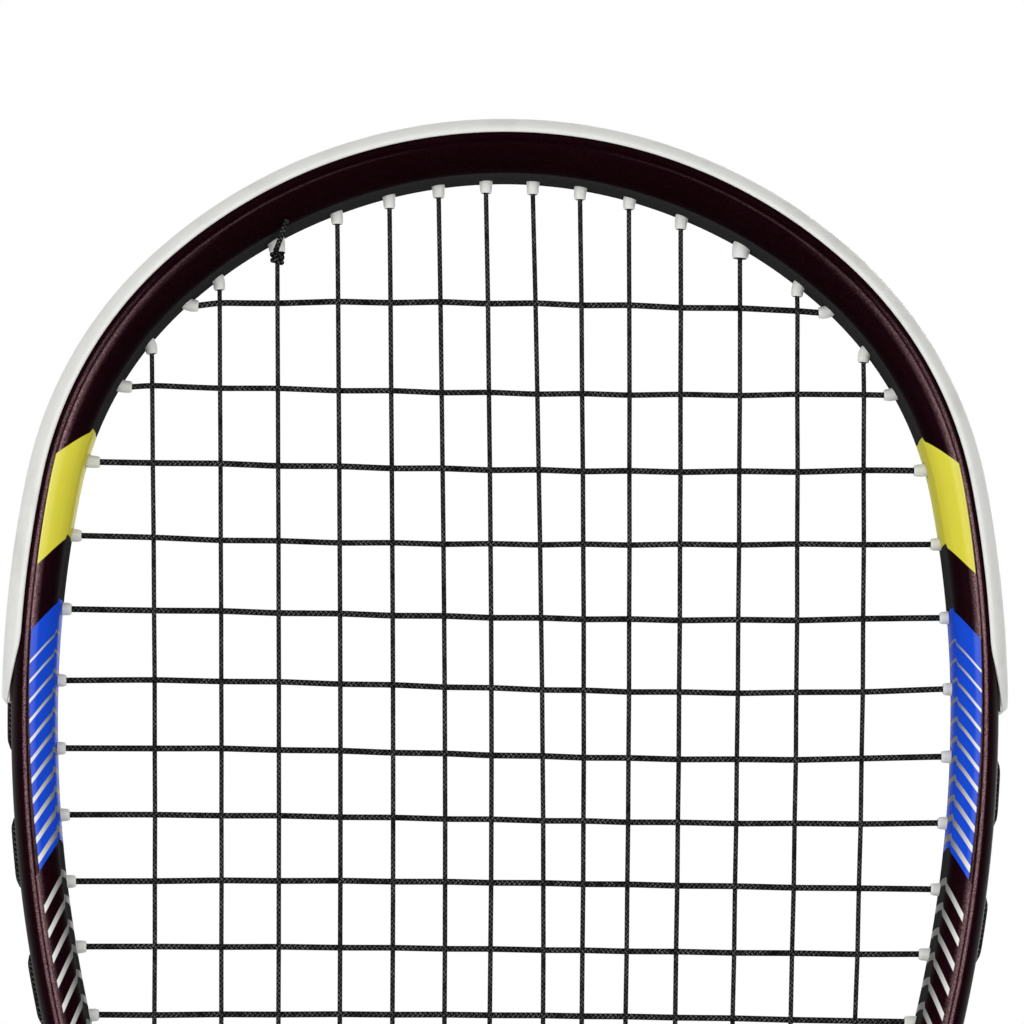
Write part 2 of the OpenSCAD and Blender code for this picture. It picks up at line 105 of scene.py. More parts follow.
class StringSettings(bpy.types.PropertyGroup):
    """The two strings and their knots."""
    main: size("Main diameter", "Diameter of the main string, drawn thin by its pull", 0.00102)
    cross: size("Cross diameter", "Diameter of the cross string", 0.00129)
    main_pitch: size("Main spacing", "Spacing of the mains at the middle of the head", 0.00975)
    main_shade: colour("Main shade", "Hollows of the main string's braid", (0.004, 0.004, 0.0041))
    cross_shade: colour("Cross shade", "Hollows of the cross string's braid", (0.0008, 0.0008, 0.0009))
    # The crest colour is a painted sheen on the crests of the braid
    crest: colour("Crest", "Crests of the braid", (0.15, 0.15, 0.152))


class HandleSettings(bpy.types.PropertyGroup):
    """Grip, collar, cap and core."""
    core_width: size("Core width", "Width of the handle core", 0.026)
    core_depth: size("Core depth", "Depth of the handle core", 0.023)
    core_bevel: size("Core bevel", "Bevel on the corners of the core", 0.006)
    lead: size("Lead", "Rise of the grip tape in one turn", 0.024)
    step: size("Step", "Height of each turn's edge over the turn below", 0.0006)
    grip: colour("Grip", "Grip tape", (0.016, 0.016, 0.018))
    tape: colour("Finishing tape", "Band that ends the grip", (0.009, 0.009, 0.010))
    collar: colour("Collar", "Rubber collar", (0.013, 0.013, 0.014))
    cap: colour("Butt cap", "Moulded cap", (0.014, 0.014, 0.016))
    core: colour("Core", "Foam of the core", (0.55, 0.45, 0.27))
    steel: colour("Staples", "Wire of the staples", (0.55, 0.55, 0.56))


class StageSettings(bpy.types.PropertyGroup):
    """Camera, lamps and floor."""
    camera_at: place("Camera", "Where the camera stands", (-0.025, -1.300, 0.440))
    aim: place("Aim", "Where the camera looks", (0.00109, 0.0, 0.60317))
    roll: bpy.props.FloatProperty(name="Roll", description="Turn of the camera about its view",
                                  default=0.008, unit="ROTATION", subtype="ANGLE")
    lens: bpy.props.FloatProperty(name="Lens", description="Focal length on a 36 mm sensor",
                                  default=219.87, unit="CAMERA")
    lamp: bpy.props.FloatProperty(name="Lamps", description="Power of which each lamp has a share",
                                  default=30.0, unit="POWER")
    sky: bpy.props.FloatProperty(name="Sky", description="Soft light from all round",
                                 default=0.38, min=0.0, subtype="FACTOR")
    floor: colour("Floor", "Pale floor", (0.86, 0.86, 0.86))


# Shader nodes as expressions

class Level:
    """A value on a surface. Arithmetic on it adds Math nodes to its paint."""

    def __init__(self, paint, socket):
        self.paint, self.socket = paint, socket

    def math(self, operation, *terms):
        return self.paint.node("ShaderNodeMath", {"operation": operation}, dict(enumerate(terms)))

    def __add__(self, other):
        return self.math("ADD", self, other)

    def __sub__(self, other):
        return self.math("SUBTRACT", self, other)

    def __rsub__(self, other):
        return self.math("SUBTRACT", other, self)

    def __mul__(self, other):
        return self.math("MULTIPLY", self, other)

    def __truediv__(self, other):
        return self.math("DIVIDE", self, other)

    def __rtruediv__(self, other):
        return self.math("DIVIDE", other, self)

    def __mod__(self, other):
        return self.math("FLOORED_MODULO", self, other)

    def __abs__(self):
        return self.math("ABSOLUTE", self)

    __radd__ = __add__
    __rmul__ = __mul__

    def most(self, other):
        return self.math("MAXIMUM", self, other)

    def least(self, other):
        return self.math("MINIMUM", self, other)

    def sine(self):
        return self.math("SINE", self)

    def floor(self):
        return self.math("FLOOR", self)

    def above(self, edge, soft):
        """0 below the edge and 1 above it, with a soft step."""
        return ((self - edge) / (2 * soft) + 0.5).most(0).least(1)

    def between(self, low, high, soft):
        return self.above(low, soft) * (1 - self.above(high, soft))


class Paint:
    """A node tree and the nodes that make its look."""

    def __init__(self, owner):
        owner.use_nodes = True
        self.owner, self.tree = owner, owner.node_tree
        self.tree.nodes.clear()

    def node(self, kind, settings, sockets, out=0):
        made = self.tree.nodes.new(kind)
        for name, value in settings.items():
            setattr(made, name, value)
        for name, value in sockets.items():
            socket = made.inputs[name]
            if isinstance(value, Level):
                self.tree.links.new(value.socket, socket)
            elif socket.type == "RGBA":
                socket.default_value = (*value[:3], 1.0)
            else:
                socket.default_value = value
        return Level(self, made.outputs[out]) if made.outputs else None

    def mix(self, share, low, high):
        return self.node("ShaderNodeMix", {"data_type": "RGBA"}, {0: share, 6: low, 7: high}, 2)

    def surface_place(self):
        """The two coordinates that a mesh carries over its surface."""
        spot = self.node("ShaderNodeUVMap", {"uv_map": SURFACE}, {})
        return [self.node("ShaderNodeSeparateXYZ", {}, {0: spot}, axis) for axis in "XY"]

    def spot(self):
        return self.node("ShaderNodeTexCoord", {}, {}, "Object")

    def grain(self, scale, detail=2.0, rough=0.5):
        return self.node("ShaderNodeTexNoise", {}, {"Vector": self.spot(), "Scale": scale,
                                                    "Detail": detail, "Roughness": rough})

    def cells(self, scale):
        sockets = {"Vector": self.spot(), "Scale": scale}
        return self.node("ShaderNodeTexVoronoi", {}, sockets, "Distance")

    def relief(self, height, depth):
        return self.node("ShaderNodeBump", {}, {"Height": height, "Distance": depth}, "Normal")

    def shade(self, **sockets):
        """Ends the tree in the usual surface shader."""
        names = {name.replace("_", " ").title().replace("Ior", "IOR"): value
                 for name, value in sockets.items()}
        surface = self.node("ShaderNodeBsdfPrincipled", {}, names)
        self.node("ShaderNodeOutputMaterial", {}, {"Surface": surface})
        return self.owner


def new_paint(name):
    return Paint(bpy.data.materials.new(name))


def tint(rgb, share):
    """A colour made darker or lighter."""
    return [c * share for c in rgb]


# Mesh of one piece

# Points closer than this are one point, in metres
WELD = 1e-6
# Least length of a stretch of a curve, and the dome of a string's end as a share of its radius
LEAST_STRETCH, END_DOME = 1e-3, 0.2


class Form:
    """Points in millimetres, faces, and the place of each face corner on the surface."""

    def __init__(self):
        self.points, self.faces, self.places = [], [], []

    def face(self, corners, places):
        self.faces.append(corners)
        self.places.extend(places)

    def skin(self, rings, places, closed=True, keep=None):
        """Joins a run of rings by four-sided faces. places[i][j] is one longer where closed."""
        first, count = len(self.points), len(rings[0])
        for ring in rings:
            self.points.extend(ring)
        for i in range(len(rings) - 1):
            for j in range(count if closed else count - 1):
                if keep and not keep(i, j):
                    continue
                k = (j + 1) % count
                a, b = first + i * count, first + (i + 1) * count
                self.face([a + j, a + k, b + k, b + j],
                          [places[i][j], places[i][j + 1], places[i + 1][j + 1], places[i + 1][j]])
        return first

    def lid(self, first, count, place):
        self.face(list(range(first, first + count)), [place] * count)

    def fan(self, first, count, centre, place):
        """Closes a ring of points by triangles to its centre."""
        self.points.append(centre)
        tip = len(self.points) - 1
        for k in range(count):
            self.face([first + k, first + (k + 1) % count, tip], [place] * 3)

    def mirror(self):
        """Adds the same faces on the other side of the middle plane."""
        count, corner = len(self.points), 0
        self.points.extend([Vector((-p.x, p.y, p.z)) for p in self.points])
        for corners in list(self.faces):
            here = self.places[corner:corner + len(corners)]
            corner += len(corners)
            self.face([c + count for c in reversed(corners)], list(reversed(here)))

    def piece(self, name, material, slot, *nodes, body=RACKET, sharp=38):
        mesh = bpy.data.meshes.new(name)
        mesh.from_pydata([p * MM for p in self.points], [], self.faces)
        layer = mesh.uv_layers.new(name=SURFACE)
        layer.uv.foreach_set("vector", [value for pair in self.places for value in pair])
        work = bmesh.new()
        work.from_mesh(mesh)
        bmesh.ops.remove_doubles(work, verts=work.verts, dist=WELD)
        bmesh.ops.dissolve_degenerate(work, edges=work.edges, dist=WELD)
        bmesh.ops.delete(work, geom=[v for v in work.verts if not v.link_faces], context="VERTS")
        bmesh.ops.recalc_face_normals(work, faces=work.faces)
        work.to_mesh(mesh)
        work.free()
        mesh.shade_smooth()
        mesh.set_sharp_from_angle(angle=math.radians(sharp))
        mesh.materials.append(material)
        made = bpy.data.objects.new(name, mesh)
        bpy.context.scene.collection.objects.link(made)
        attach(made, body)
        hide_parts(*nodes)


def lerp(a, b, t):
    return a + (b - a) * t


def spread(low, high, longest):
    """Places from low to high, with steps no longer than the longest."""
    count = max(1, math.ceil((high - low) / longest - 1e-6))
    return [lerp(low, high, k / count) for k in range(count + 1)]


def smooth_line(points, step):
    """A curve through the points, in steps of about the given length."""
    line = [points[0]]
    ends = [2 * points[0] - points[1]] + points + [2 * points[-1] - points[-2]]
    for a, b, c, d in zip(ends, ends[1:], ends[2:], ends[3:]):
        t1 = math.sqrt(max((b - a).length, LEAST_STRETCH))
        t2 = t1 + math.sqrt(max((c - b).length, LEAST_STRETCH))
        t3 = t2 + math.sqrt(max((d - c).length, LEAST_STRETCH))
        count = max(1, round((c - b).length / step))
        for k in range(1, count + 1):
            t = lerp(t1, t2, k / count)
            share = (t - t1) / (t2 - t1)
            ab, bc, cd = lerp(a, b, t / t1), lerp(b, c, share), lerp(c, d, (t - t2) / (t3 - t2))
            line.append(lerp(lerp(ab, bc, t / t2), lerp(bc, cd, (t - t1) / (t3 - t1)), share))
    return line


def tangents(line):
    last = len(line) - 1
    return [(line[min(i + 1, last)] - line[max(i - 1, 0)]).normalized() for i in range(last + 1)]


def frames_along(line):
    """Point and two sides at each point of a line, turned as little as possible."""
    ways = tangents(line)
    side = ways[0].orthogonal().normalized()
    frames = []
    for i, (point, way) in enumerate(zip(line, ways)):
        if i:
            side = ways[i - 1].rotation_difference(way) @ side
            side = (side - side.dot(way) * way).normalized()
        frames.append((point, side, way.cross(side)))
    return frames


def circle(spot, radius, sides):
    point, side, other = spot
    return [point + radius * (math.cos(a) * side + math.sin(a) * other)
            for a in (math.tau * k / sides for k in range(sides))]


def run_length(line):
    total, lengths = 0.0, [0.0]
    for a, b in zip(line, line[1:]):
        total += (b - a).length
        lengths.append(total)
    return lengths


def add_string(form, line, radius, sides):
    """A round string with closed, slightly domed ends."""
    lengths, ways = run_length(line), tangents(line)
    first = form.skin([circle(spot, radius, sides) for spot in frames_along(line)],
                      [[(k / sides, here) for k in range(sides + 1)] for here in lengths])
    last = first + (len(line) - 1) * sides
    form.fan(first, sides, line[0] - END_DOME * radius * ways[0], (0, 0))
    form.fan(last, sides, line[-1] + END_DOME * radius * ways[-1], (0, lengths[-1]))


# Plan of the hoop and the string bed, in millimetres

def heading(turn):
    a = math.radians(turn)
    return Vector((math.sin(a), math.cos(a)))


def ease(t):
    """0 to 1 with a smooth start and end."""
    t = min(max(t, 0.0), 1.0)
    return t * t * (3 - 2 * t)


def root(miss, low, high):
    """Where a function that changes sign once is zero."""
    for _ in range(40):
        middle = (low + high) / 2
        if miss(middle) * miss(low) > 0:
            low = middle
        else:
            high = middle
    return (low + high) / 2


class Plan:
    """A station is an angle from the crown in degrees, and beyond the last arc each unit is one
    millimetre down the straight leg. Stations below zero are on the left."""
    TURNS = (0.0, 42.6, 79.4, 90.0, 119.5)
    WIDEST, LEG = TURNS[-2:]
    # The inner wall is drawn in at the crown and out at the sides, and is plain again on the leg
    CROWN_THICK, SIDE_THICK = 0.6, -0.65
    CROWN_TO, SIDE_FROM, SIDE_TO = 18, 74, 92

    def __init__(self):
        scene = bpy.context.scene
        hoop = scene.racket_hoop
        self.half = hoop.tube_width / MM / 2
        self.rim = self.half + scene.racket_grommets.bumper_height / MM
        self.shaft_half = hoop.shaft_width / MM / 2
        self.crown_z = hoop.length / MM - self.rim
        radii = [r / MM for r in (hoop.crown_radius, hoop.shoulder_radius,
                                  hoop.flank_radius, hoop.side_radius)]
        centre = Vector((0, self.crown_z - radii[0]))
        self.arcs = []
        for i, radius in enumerate(radii):
            if i:
                centre = centre + (radii[i - 1] - radius) * heading(self.TURNS[i])
            self.arcs.append((self.TURNS[i], self.TURNS[i + 1], radius, centre))
        self.leg_start = centre + radii[-1] * heading(self.LEG)
        leg = math.radians(self.LEG)
        self.leg_way = Vector((math.cos(leg), -math.sin(leg)))
        slope = leg - math.pi / 2
        inner, outer = self.at(self.LEG, -self.half), self.at(self.LEG, self.half)
        tip = inner + self.leg_way * (inner.x / -self.leg_way.x)
        self.crotch_r, self.yoke_r = hoop.crotch_radius / MM, hoop.yoke_radius / MM
        self.crotch = tip + Vector((0, self.crotch_r / math.sin(slope)))
        meet = outer + self.leg_way * ((outer.x - self.shaft_half) / -self.leg_way.x)
        self.yoke = Vector((self.shaft_half + self.yoke_r, meet.y - self.yoke_r * math.tan(slope / 2)))
        self.leg_end = self.LEG + (outer.x - self.yoke.x + self.yoke_r * math.sin(leg)) / -self.leg_way.x

    def axis(self, s):
        """Plan point on the middle of the tube, for stations on the right."""
        for _, high, radius, centre in self.arcs:
            if s < high:
                return centre + radius * heading(s)
        return self.leg_start + (s - self.LEG) * self.leg_way

    def at(self, s, u):
        """Plan point at a station, u outward from the middle of the tube."""
        p = self.axis(abs(s)) + u * heading(min(abs(s), self.LEG))
        return Vector((-p.x, p.y)) if s < 0 else p

    def spot(self, s, u, v):
        """The same point in space, v behind the string plane."""
        p = self.at(s, u)
        return Vector((p.x, v, p.y))

    def wall(self, s):
        """Inner wall, outward from the middle of the tube: the tube is widest at the crown."""
        slim = ease((abs(s) - self.CROWN_TO) / (self.SIDE_FROM - self.CROWN_TO))
        plain = ease((abs(s) - self.SIDE_TO) / (self.LEG - self.SIDE_TO))
        return -self.half - lerp(lerp(self.CROWN_THICK, self.SIDE_THICK, slim), 0, plain)

    def per_mm(self, s):
        """Stations in one millimetre along the middle of the tube."""
        for _, high, radius, _ in self.arcs:
            if abs(s) < high:
                return 180 / math.pi / radius
        return 1.0

    def length(self, s, u=0.0):
        """Length from the crown to a station, along the line u outward."""
        total = 0.0
        for low, high, radius, _ in self.arcs:
            total += math.radians(min(max(s - low, 0), high - low)) * (radius + u)
        return total + max(0, s - self.LEG)

    def station(self, length, u=0.0):
        """The station at a length from the crown."""
        for low, high, radius, _ in self.arcs:
            reach = math.radians(high - low) * (radius + u)
            if length < reach:
                return low + math.degrees(length / (radius + u))
            length -= reach
        return self.LEG + length


class Bed:
    """Where the strings, holes and loops are."""
    MAINS, CROSSES = 7, 17
    # Mains, counted from the middle, that have a tie-off barrel at the top and at the low end
    TIE_TOP, TIES_LOW = 5, (5, 6)
    # Last cross with barrels on the bumper, and on the side strips
    LAST_BUMPER_CROSS, LAST_SIDE_CROSS = 6, 13
    # First cross below the crown, then the gap after it, of the top crosses, the least and of the low ones
    FIRST_CROSS, FIRST_GAP, TOP_GAP, LEAST_GAP, LOW_GAP = 32.4, 17.4, 15.6, 13.6, 13.8
    # Crosses after which gaps shrink and grow, and by how much from one to the next
    EVEN_TO, CLOSER, LOW_FROM, WIDER = 4, 0.6, 10, 0.9
    # Mains stand further apart towards the sides, and fan out upwards from their places at a height
    SPREAD, FAN, FAN_FROM = 0.041, 0.00022, 600
    # How far the middle of each cross has moved up in play, from the crown down
    SAG = (0.9, -0.7, -0.9, -0.95, -0.9, -0.8, -0.6, -0.15, 0.6,
           0.3, 0.75, 0.4, 0.2, -0.2, 0.1, 0.0, 0.0)
    # How far each cross sits from its even place
    SLIP = (-0.1, -0.2, -0.65, -0.7, -0.6, -0.6, -0.4, -0.5, -0.75,
            -0.7, -1.2, -0.9, -0.6, -0.4, -0.2, 0.0, 0.0)
    # How far each cross leans, up at the left and down at the right
    LEAN = (0.3, 0.3, 0.4, -0.4, 0.8, 1.7, 1.5, 0.8, 0.4, 0.4, 0.0, 0.0, 0.0, 0.0, 0.0, 0.0, 0.0)
    # How much further out each main sits than its even place, from the middle
    OUT = (0.0, 0.0, 0.0, 0.0, 0.8, 0.0, 0.0)
    # How far the middle of each main has moved sideways in play, from the left
    BOW = (0.5, 0.4, 0.5, 1.0, 1.3, 2.1, 2.9, 2.8, 2.25, 1.4, 1.1, 0.9, 1.3, 1.1)
    # How far the strings pass behind and in front of the string plane where they cross
    MAIN_WAVE, CROSS_WAVE = 0.45, 0.75
    # Strings don't cross nearer than this to the end of a cross and of a main
    CROSS_END, MAIN_END = 2.5, 4
    # Station above which no cross ends
    CROSS_FROM = 20
    # Groove floor under the tube's outside, start of a hole under that floor, and where a barrel bends:
    # inside the wall, and in its thickness
    FLOOR, HOLE_IN, BEND_IN, BEND_FROM = 0.6, 0.6, 0.5, 0.9
    # A loop's climb from its hole: along the hoop, over the groove's floor, share of the way to its lane
    CLIMB = ((0.4, 0.55, 0.0), (1.7, 0.9, 0.35), (3.4, 0.9, 1.0))
    # Lane of the loops and of the strings in a tie-off hole, from the string plane, and step along a loop
    LANE, TIE_V, LOOP_STEP = 1.85, 0.8, 5
    # How far a free end stands out to the front
    TAIL_OUT = 0.4

    def __init__(self, plan):
        scene = bpy.context.scene
        self.plan = plan
        self.pitch = scene.racket_strings.main_pitch / MM
        self.peg = scene.racket_grommets.peg / MM
        self.floor_u = plan.half - self.FLOOR
        level, self.cross_z = plan.crown_z - self.FIRST_CROSS, []
        for k, slip in enumerate(self.SLIP, 1):
            self.cross_z.append(level + slip)
            level -= self.gap(k)

        def main_miss(j):
            return lambda s: plan.at(s, plan.wall(s)).x - self.main_x(j, plan.at(s, plan.wall(s)).y)

        def cross_miss(z):
            return lambda s: plan.at(s, plan.wall(s)).y - z

        counts = range(1, self.MAINS + 1)
        self.top = [root(main_miss(j), 0, plan.WIDEST) for j in counts]
        self.low = [root(main_miss(j), plan.WIDEST, plan.leg_end) for j in counts]
        self.side = [root(cross_miss(z), self.CROSS_FROM, plan.leg_end) for z in self.cross_z]

    def gap(self, k):
        """Distance from cross k to the next."""
        if k == 1:
            return self.FIRST_GAP
        if k > self.LOW_FROM:
            return self.LOW_GAP + self.WIDER * (k - self.LOW_FROM)
        return max(self.LEAST_GAP, self.TOP_GAP - self.CLOSER * max(0, k - self.EVEN_TO))

    def main_x(self, j, z):
        t = j - 0.5
        even = self.pitch * t + self.SPREAD * t ** 3 + self.OUT[j - 1]
        return even * (1 + self.FAN * (z - self.FAN_FROM))

    def count(self, i):
        """Count of main i (1 at the left) from the middle."""
        return self.MAINS + 1 - i if i <= self.MAINS else i - self.MAINS

    def sign(self, i):
        return -1 if i <= self.MAINS else 1

    def top_of(self, i):
        return self.sign(i) * self.top[self.count(i) - 1]

    def low_of(self, i):
        return self.sign(i) * self.low[self.count(i) - 1]

    def top_v(self, i):
        return self.TIE_V if self.count(i) == self.TIE_TOP else 0.0

    def low_v(self, i):
        return self.TIE_V if self.count(i) in self.TIES_LOW else 0.0

    def ends(self, i):
        """Where main i leaves its low and its top barrel, in the string plane."""
        return self.bend(self.low_of(i), 0), self.bend(self.top_of(i), 0)

    def main_way(self, i):
        low, top = self.ends(i)
        return (top - low).normalized()

    def holes(self):
        """Station, tie-off or not, and the way its string goes, for the right half, by strip."""
        bumper, side, throat = [], [], []
        for i in range(self.MAINS + 1, 2 * self.MAINS + 1):
            j, up = self.count(i), self.main_way(i)
            bumper.append((self.top[j - 1], j == self.TIE_TOP, -up))
            throat.append((self.low[j - 1], j in self.TIES_LOW, up))
        for k, s in enumerate(self.side, 1):
            strip = bumper if k <= self.LAST_BUMPER_CROSS else side if k <= self.LAST_SIDE_CROSS else throat
            strip.append((s, False, Vector((-1, 0, 0))))
        return bumper, side, throat

    def bend(self, s, v):
        """Where the line of a string meets the line of its hole."""
        return self.plan.spot(s, self.plan.wall(s) - self.BEND_IN, v)

    def bore(self, s, v):
        """Straight part of a hole, from the groove to the middle of the tube."""
        return [self.plan.spot(s, self.floor_u - self.HOLE_IN, v), self.plan.spot(s, 0, v)]

    def mouth(self, s, v, way):
        """Middle of a barrel from the groove to past its tip, with its soft bend."""
        corner = self.bend(s, v)
        start = self.plan.spot(s, self.plan.wall(s) + self.BEND_FROM, v)
        end = corner + way * (corner - start).length
        bend = [lerp(lerp(start, corner, t), lerp(corner, end, t), t) for t in (0.25, 0.5, 0.75)]
        return self.bore(s, v) + [start] + bend + [end]

    def cross_sag(self, k, share):
        """How far cross k lies from its level, at a share of its half length."""
        return (self.SAG[k - 1] - self.LEAN[k - 1] * share) * (1 - share ** 2)

    def main_at(self, i, z):
        """Sideways place of main i at a height."""
        low, top = self.ends(i)
        t = min(max((z - low.z) / (top.z - low.z), 0), 1)
        return lerp(low.x, top.x, t) + self.BOW[i - 1] * math.sin(math.pi * t)

    def crossing(self, i, k):
        """Where main i and cross k cross, or None where the main doesn't reach the cross."""
        z, reach = self.cross_z[k - 1], self.bend(self.side[k - 1], 0).x - self.CROSS_END
        low, top = self.ends(i)
        x = self.main_at(i, z)
        if abs(x) > reach or not low.z + self.MAIN_END < z < top.z - self.MAIN_END:
            return None
        return Vector((x, 0, z + self.cross_sag(k, x / reach)))

    def weave(self, pairs, wave):
        """Points of a string through the crossings of mains and crosses that it has."""
        spots = []
        for i, k in pairs:
            spot = self.crossing(i, k)
            if spot:
                spots.append(spot + Vector((0, wave if (i + k) % 2 else -wave, 0)))
        line = spots[:1]
        for a, b in zip(spots, spots[1:]):
            line += [(a + b) / 2, b]
        return line

    def climb(self, s, way, v, lane):
        """From a hole to the lane of a loop."""
        mm = way * self.plan.per_mm(s)
        return [self.plan.spot(s + along * mm, self.floor_u + up, lerp(v, lane, share))
                for along, up, share in self.CLIMB]

    def run(self, s1, s2, lane, v1=0.0, v2=0.0):
        """Loop outside the tube from one hole to the next."""
        plan, way = self.plan, 1 if s2 > s1 else -1
        along, up, _ = self.CLIMB[-1]
        a, b = s1 + way * along * plan.per_mm(s1), s2 - way * along * plan.per_mm(s2)
        reach = (plan.at(s1, plan.half) - plan.at(s2, plan.half)).length
        count = max(2, math.ceil(reach / self.LOOP_STEP))
        middle = [plan.spot(lerp(a, b, k / count), self.floor_u + up, lane) for k in range(1, count)]
        return self.climb(s1, way, v1, lane) + middle + self.climb(s2, -way, v2, lane)[::-1]

    def tail(self, s, v):
        """A free end that comes back in through a tie-off hole and stops at its knot."""
        tip, inward = self.bend(s, v), -1 if abs(s) < self.plan.WIDEST else 1
        return self.bore(s, v) + [tip, tip + Vector((0, -self.TAIL_OUT, inward))]

    def main_up(self, i):
        """Main i from its low hole to its top hole."""
        up = self.main_way(i)
        low = self.mouth(self.low_of(i), self.low_v(i), up)
        top = self.mouth(self.top_of(i), self.top_v(i), -up)
        return low + self.weave([(i, k) for k in range(self.CROSSES, 0, -1)], self.MAIN_WAVE) + top[::-1]

    def cross_over(self, k):
        """Cross k from left to right."""
        s = self.side[k - 1]
        left = self.mouth(-s, 0, Vector((1, 0, 0)))
        right = self.mouth(s, 0, Vector((-1, 0, 0)))
        pairs = [(i, k) for i in range(1, 2 * self.MAINS + 1)]
        return left + self.weave(pairs, -self.CROSS_WAVE) + right[::-1]


# Hoop

# Half sections of the tube and the shaft, from the inner wall to the outer: share of the width,
# distance from the string plane
TUBE = ((0, 0), (0, 1.45), (0.003, 2.9), (0.018, 4.5), (0.05, 5.75), (0.092, 6.6), (0.14, 7.3), (0.215, 8.05),
        (0.36, 8.95), (0.47, 9.42), (0.55, 9.66), (0.595, 9.71), (0.62, 9.66), (0.642, 9.56), (0.656, 9.63),
        (0.672, 9.78), (0.698, 9.93), (0.735, 10), (0.785, 9.83), (0.85, 9.3), (0.92, 8.3), (0.97, 7.1),
        (0.995, 5.9), (1, 5.1), (0.997, 4.4), (0.975, 4.12), (0.9, 4.03), (0.8, 3.95), (0.8, 0))
SHAFT = ((0, 0), (0, 1.45), (0, 2.9), (0, 5.5), (0, 6.6), (0, 7.4), (0, 8), (0.2, 8), (0.36, 7.95),
         (0.46, 7.87), (0.53, 7.8), (0.565, 7.74), (0.585, 7.7), (0.6, 7.67), (0.615, 7.63),
         (0.635, 7.58), (0.67, 7.47), (0.72, 7.25), (0.78, 6.92), (0.85, 6.3), (0.92, 5.35),
         (0.965, 4.3), (0.983, 3.5), (0.99, 2.8), (0.994, 2.2), (0.997, 1.6), (0.998, 1.1), (0.999, 0.6),
         (1, 0))
# The inner corner's point in a half section, and the count of points in a whole one
CORNER, AROUND = 5, 2 * len(TUBE) - 2
# Half length of the patch of wall round a string hole and round a tie-off hole
PATCH, TIE_PATCH = 2.45, 2.9
# Edge of the patch that holds a string hole, as ring and point, from the far end round by the back
PATCH_EDGE = ((4, 0), (4, -1), (4, -2), (3, -2), (2, -2), (1, -2), (0, -2), (0, -1), (0, 0), (0, 1),
              (0, 2), (1, 2), (2, 2), (3, 2), (4, 2), (4, 1))
# Rings of a patch, as shares of its half length, and the least distance between two patches
PATCH_STEPS, PATCH_GAP = (-1, -0.5, 0, 0.5), 0.04
# Gap round a barrel, depth to which a hole is modelled, and the place that stands for its inside
HOLE_GAP, HOLE_DEPTH, HOLE_PLACE = 0.25, 1.3, -9.0
# Steps from the leg to the shaft: all of them, where the arc of the crotch starts and where it ends
THROAT_STEPS, CROTCH_ARC, CROTCH_STEP = 9, 2.0, 5
# Longest distance between rings of the hoop and of the shaft, and length of a step in the throat
RING_STEP, SHAFT_STEP, THROAT_LENGTH = 2.2, 9, 2.6
# First ring of the throat and longest distance between two, in steps
FIRST_THROAT_RING, THROAT_SHARE = 1.25, 0.5
# Points nearer than this to the middle plane are in it
IN_MIDDLE = 1e-4


def hoop_ring(inner, outer, morph, thick=Vector((0, 0))):
    """Ring of the section between two plan points, with its inner half drawn out to the wall."""
    front = []
    for (tube_share, tube_depth), (shaft_share, shaft_depth) in zip(TUBE, SHAFT):
        p = lerp(inner, outer, lerp(tube_share, shaft_share, morph)) + max(0, 1 - 2 * tube_share) * thick
        front.append(Vector((p.x, -lerp(tube_depth, shaft_depth, morph), p.y)))
    return front + [Vector((p.x, -p.y, p.z)) for p in front[-2:0:-1]]


def hoop_places(plan, along):
    """Length from the crown, and distance outward from the inner corner, below zero on the wall."""
    half = [share * 2 * plan.half if j >= CORNER else depth - TUBE[CORNER][1]
            for j, (share, depth) in enumerate(TUBE)]
    return [(along, across) for across in half + half[-2::-1]]


def throat_inner(plan, k, start):
    """Inner side of the leg at a step: to the crotch, round its arc, then down the middle."""
    arc_start = plan.crotch + plan.crotch_r * heading(plan.LEG)
    if k < CROTCH_ARC:
        return lerp(start, arc_start, (k - 1) / (CROTCH_ARC - 1))
    if k < CROTCH_STEP:
        turn = lerp(plan.LEG, 180, (k - CROTCH_ARC) / (CROTCH_STEP - CROTCH_ARC))
        return plan.crotch + plan.crotch_r * heading(turn)
    low = plan.crotch.y - plan.crotch_r
    return Vector((0, lerp(low, plan.yoke.y, (k - CROTCH_STEP) / (THROAT_STEPS - CROTCH_STEP))))


def hole_rows(plan, bed):
    """Lengths of the rings along the plain wall, and of each hole its first ring, place and kind."""
    holes = sorted((plan.length(s, -plan.half), tie) for strip in bed.holes() for s, tie, _ in strip)
    lengths, patches, edge = [], [], 0.0
    for n, (here, tie) in enumerate(holes):
        before = here - holes[n - 1][0] if n else 2 * here
        after = holes[n + 1][0] - here if n + 1 < len(holes) else 2 * PATCH + 1
        reach = min(TIE_PATCH if tie else PATCH, (before - PATCH_GAP) / 2, (after - PATCH_GAP) / 2)
        lengths += spread(edge, here - reach, RING_STEP)[:-1]
        patches.append((len(lengths), here, tie))
        lengths += [here + reach * share for share in PATCH_STEPS]
        edge = here + reach
    return lengths + [edge], patches


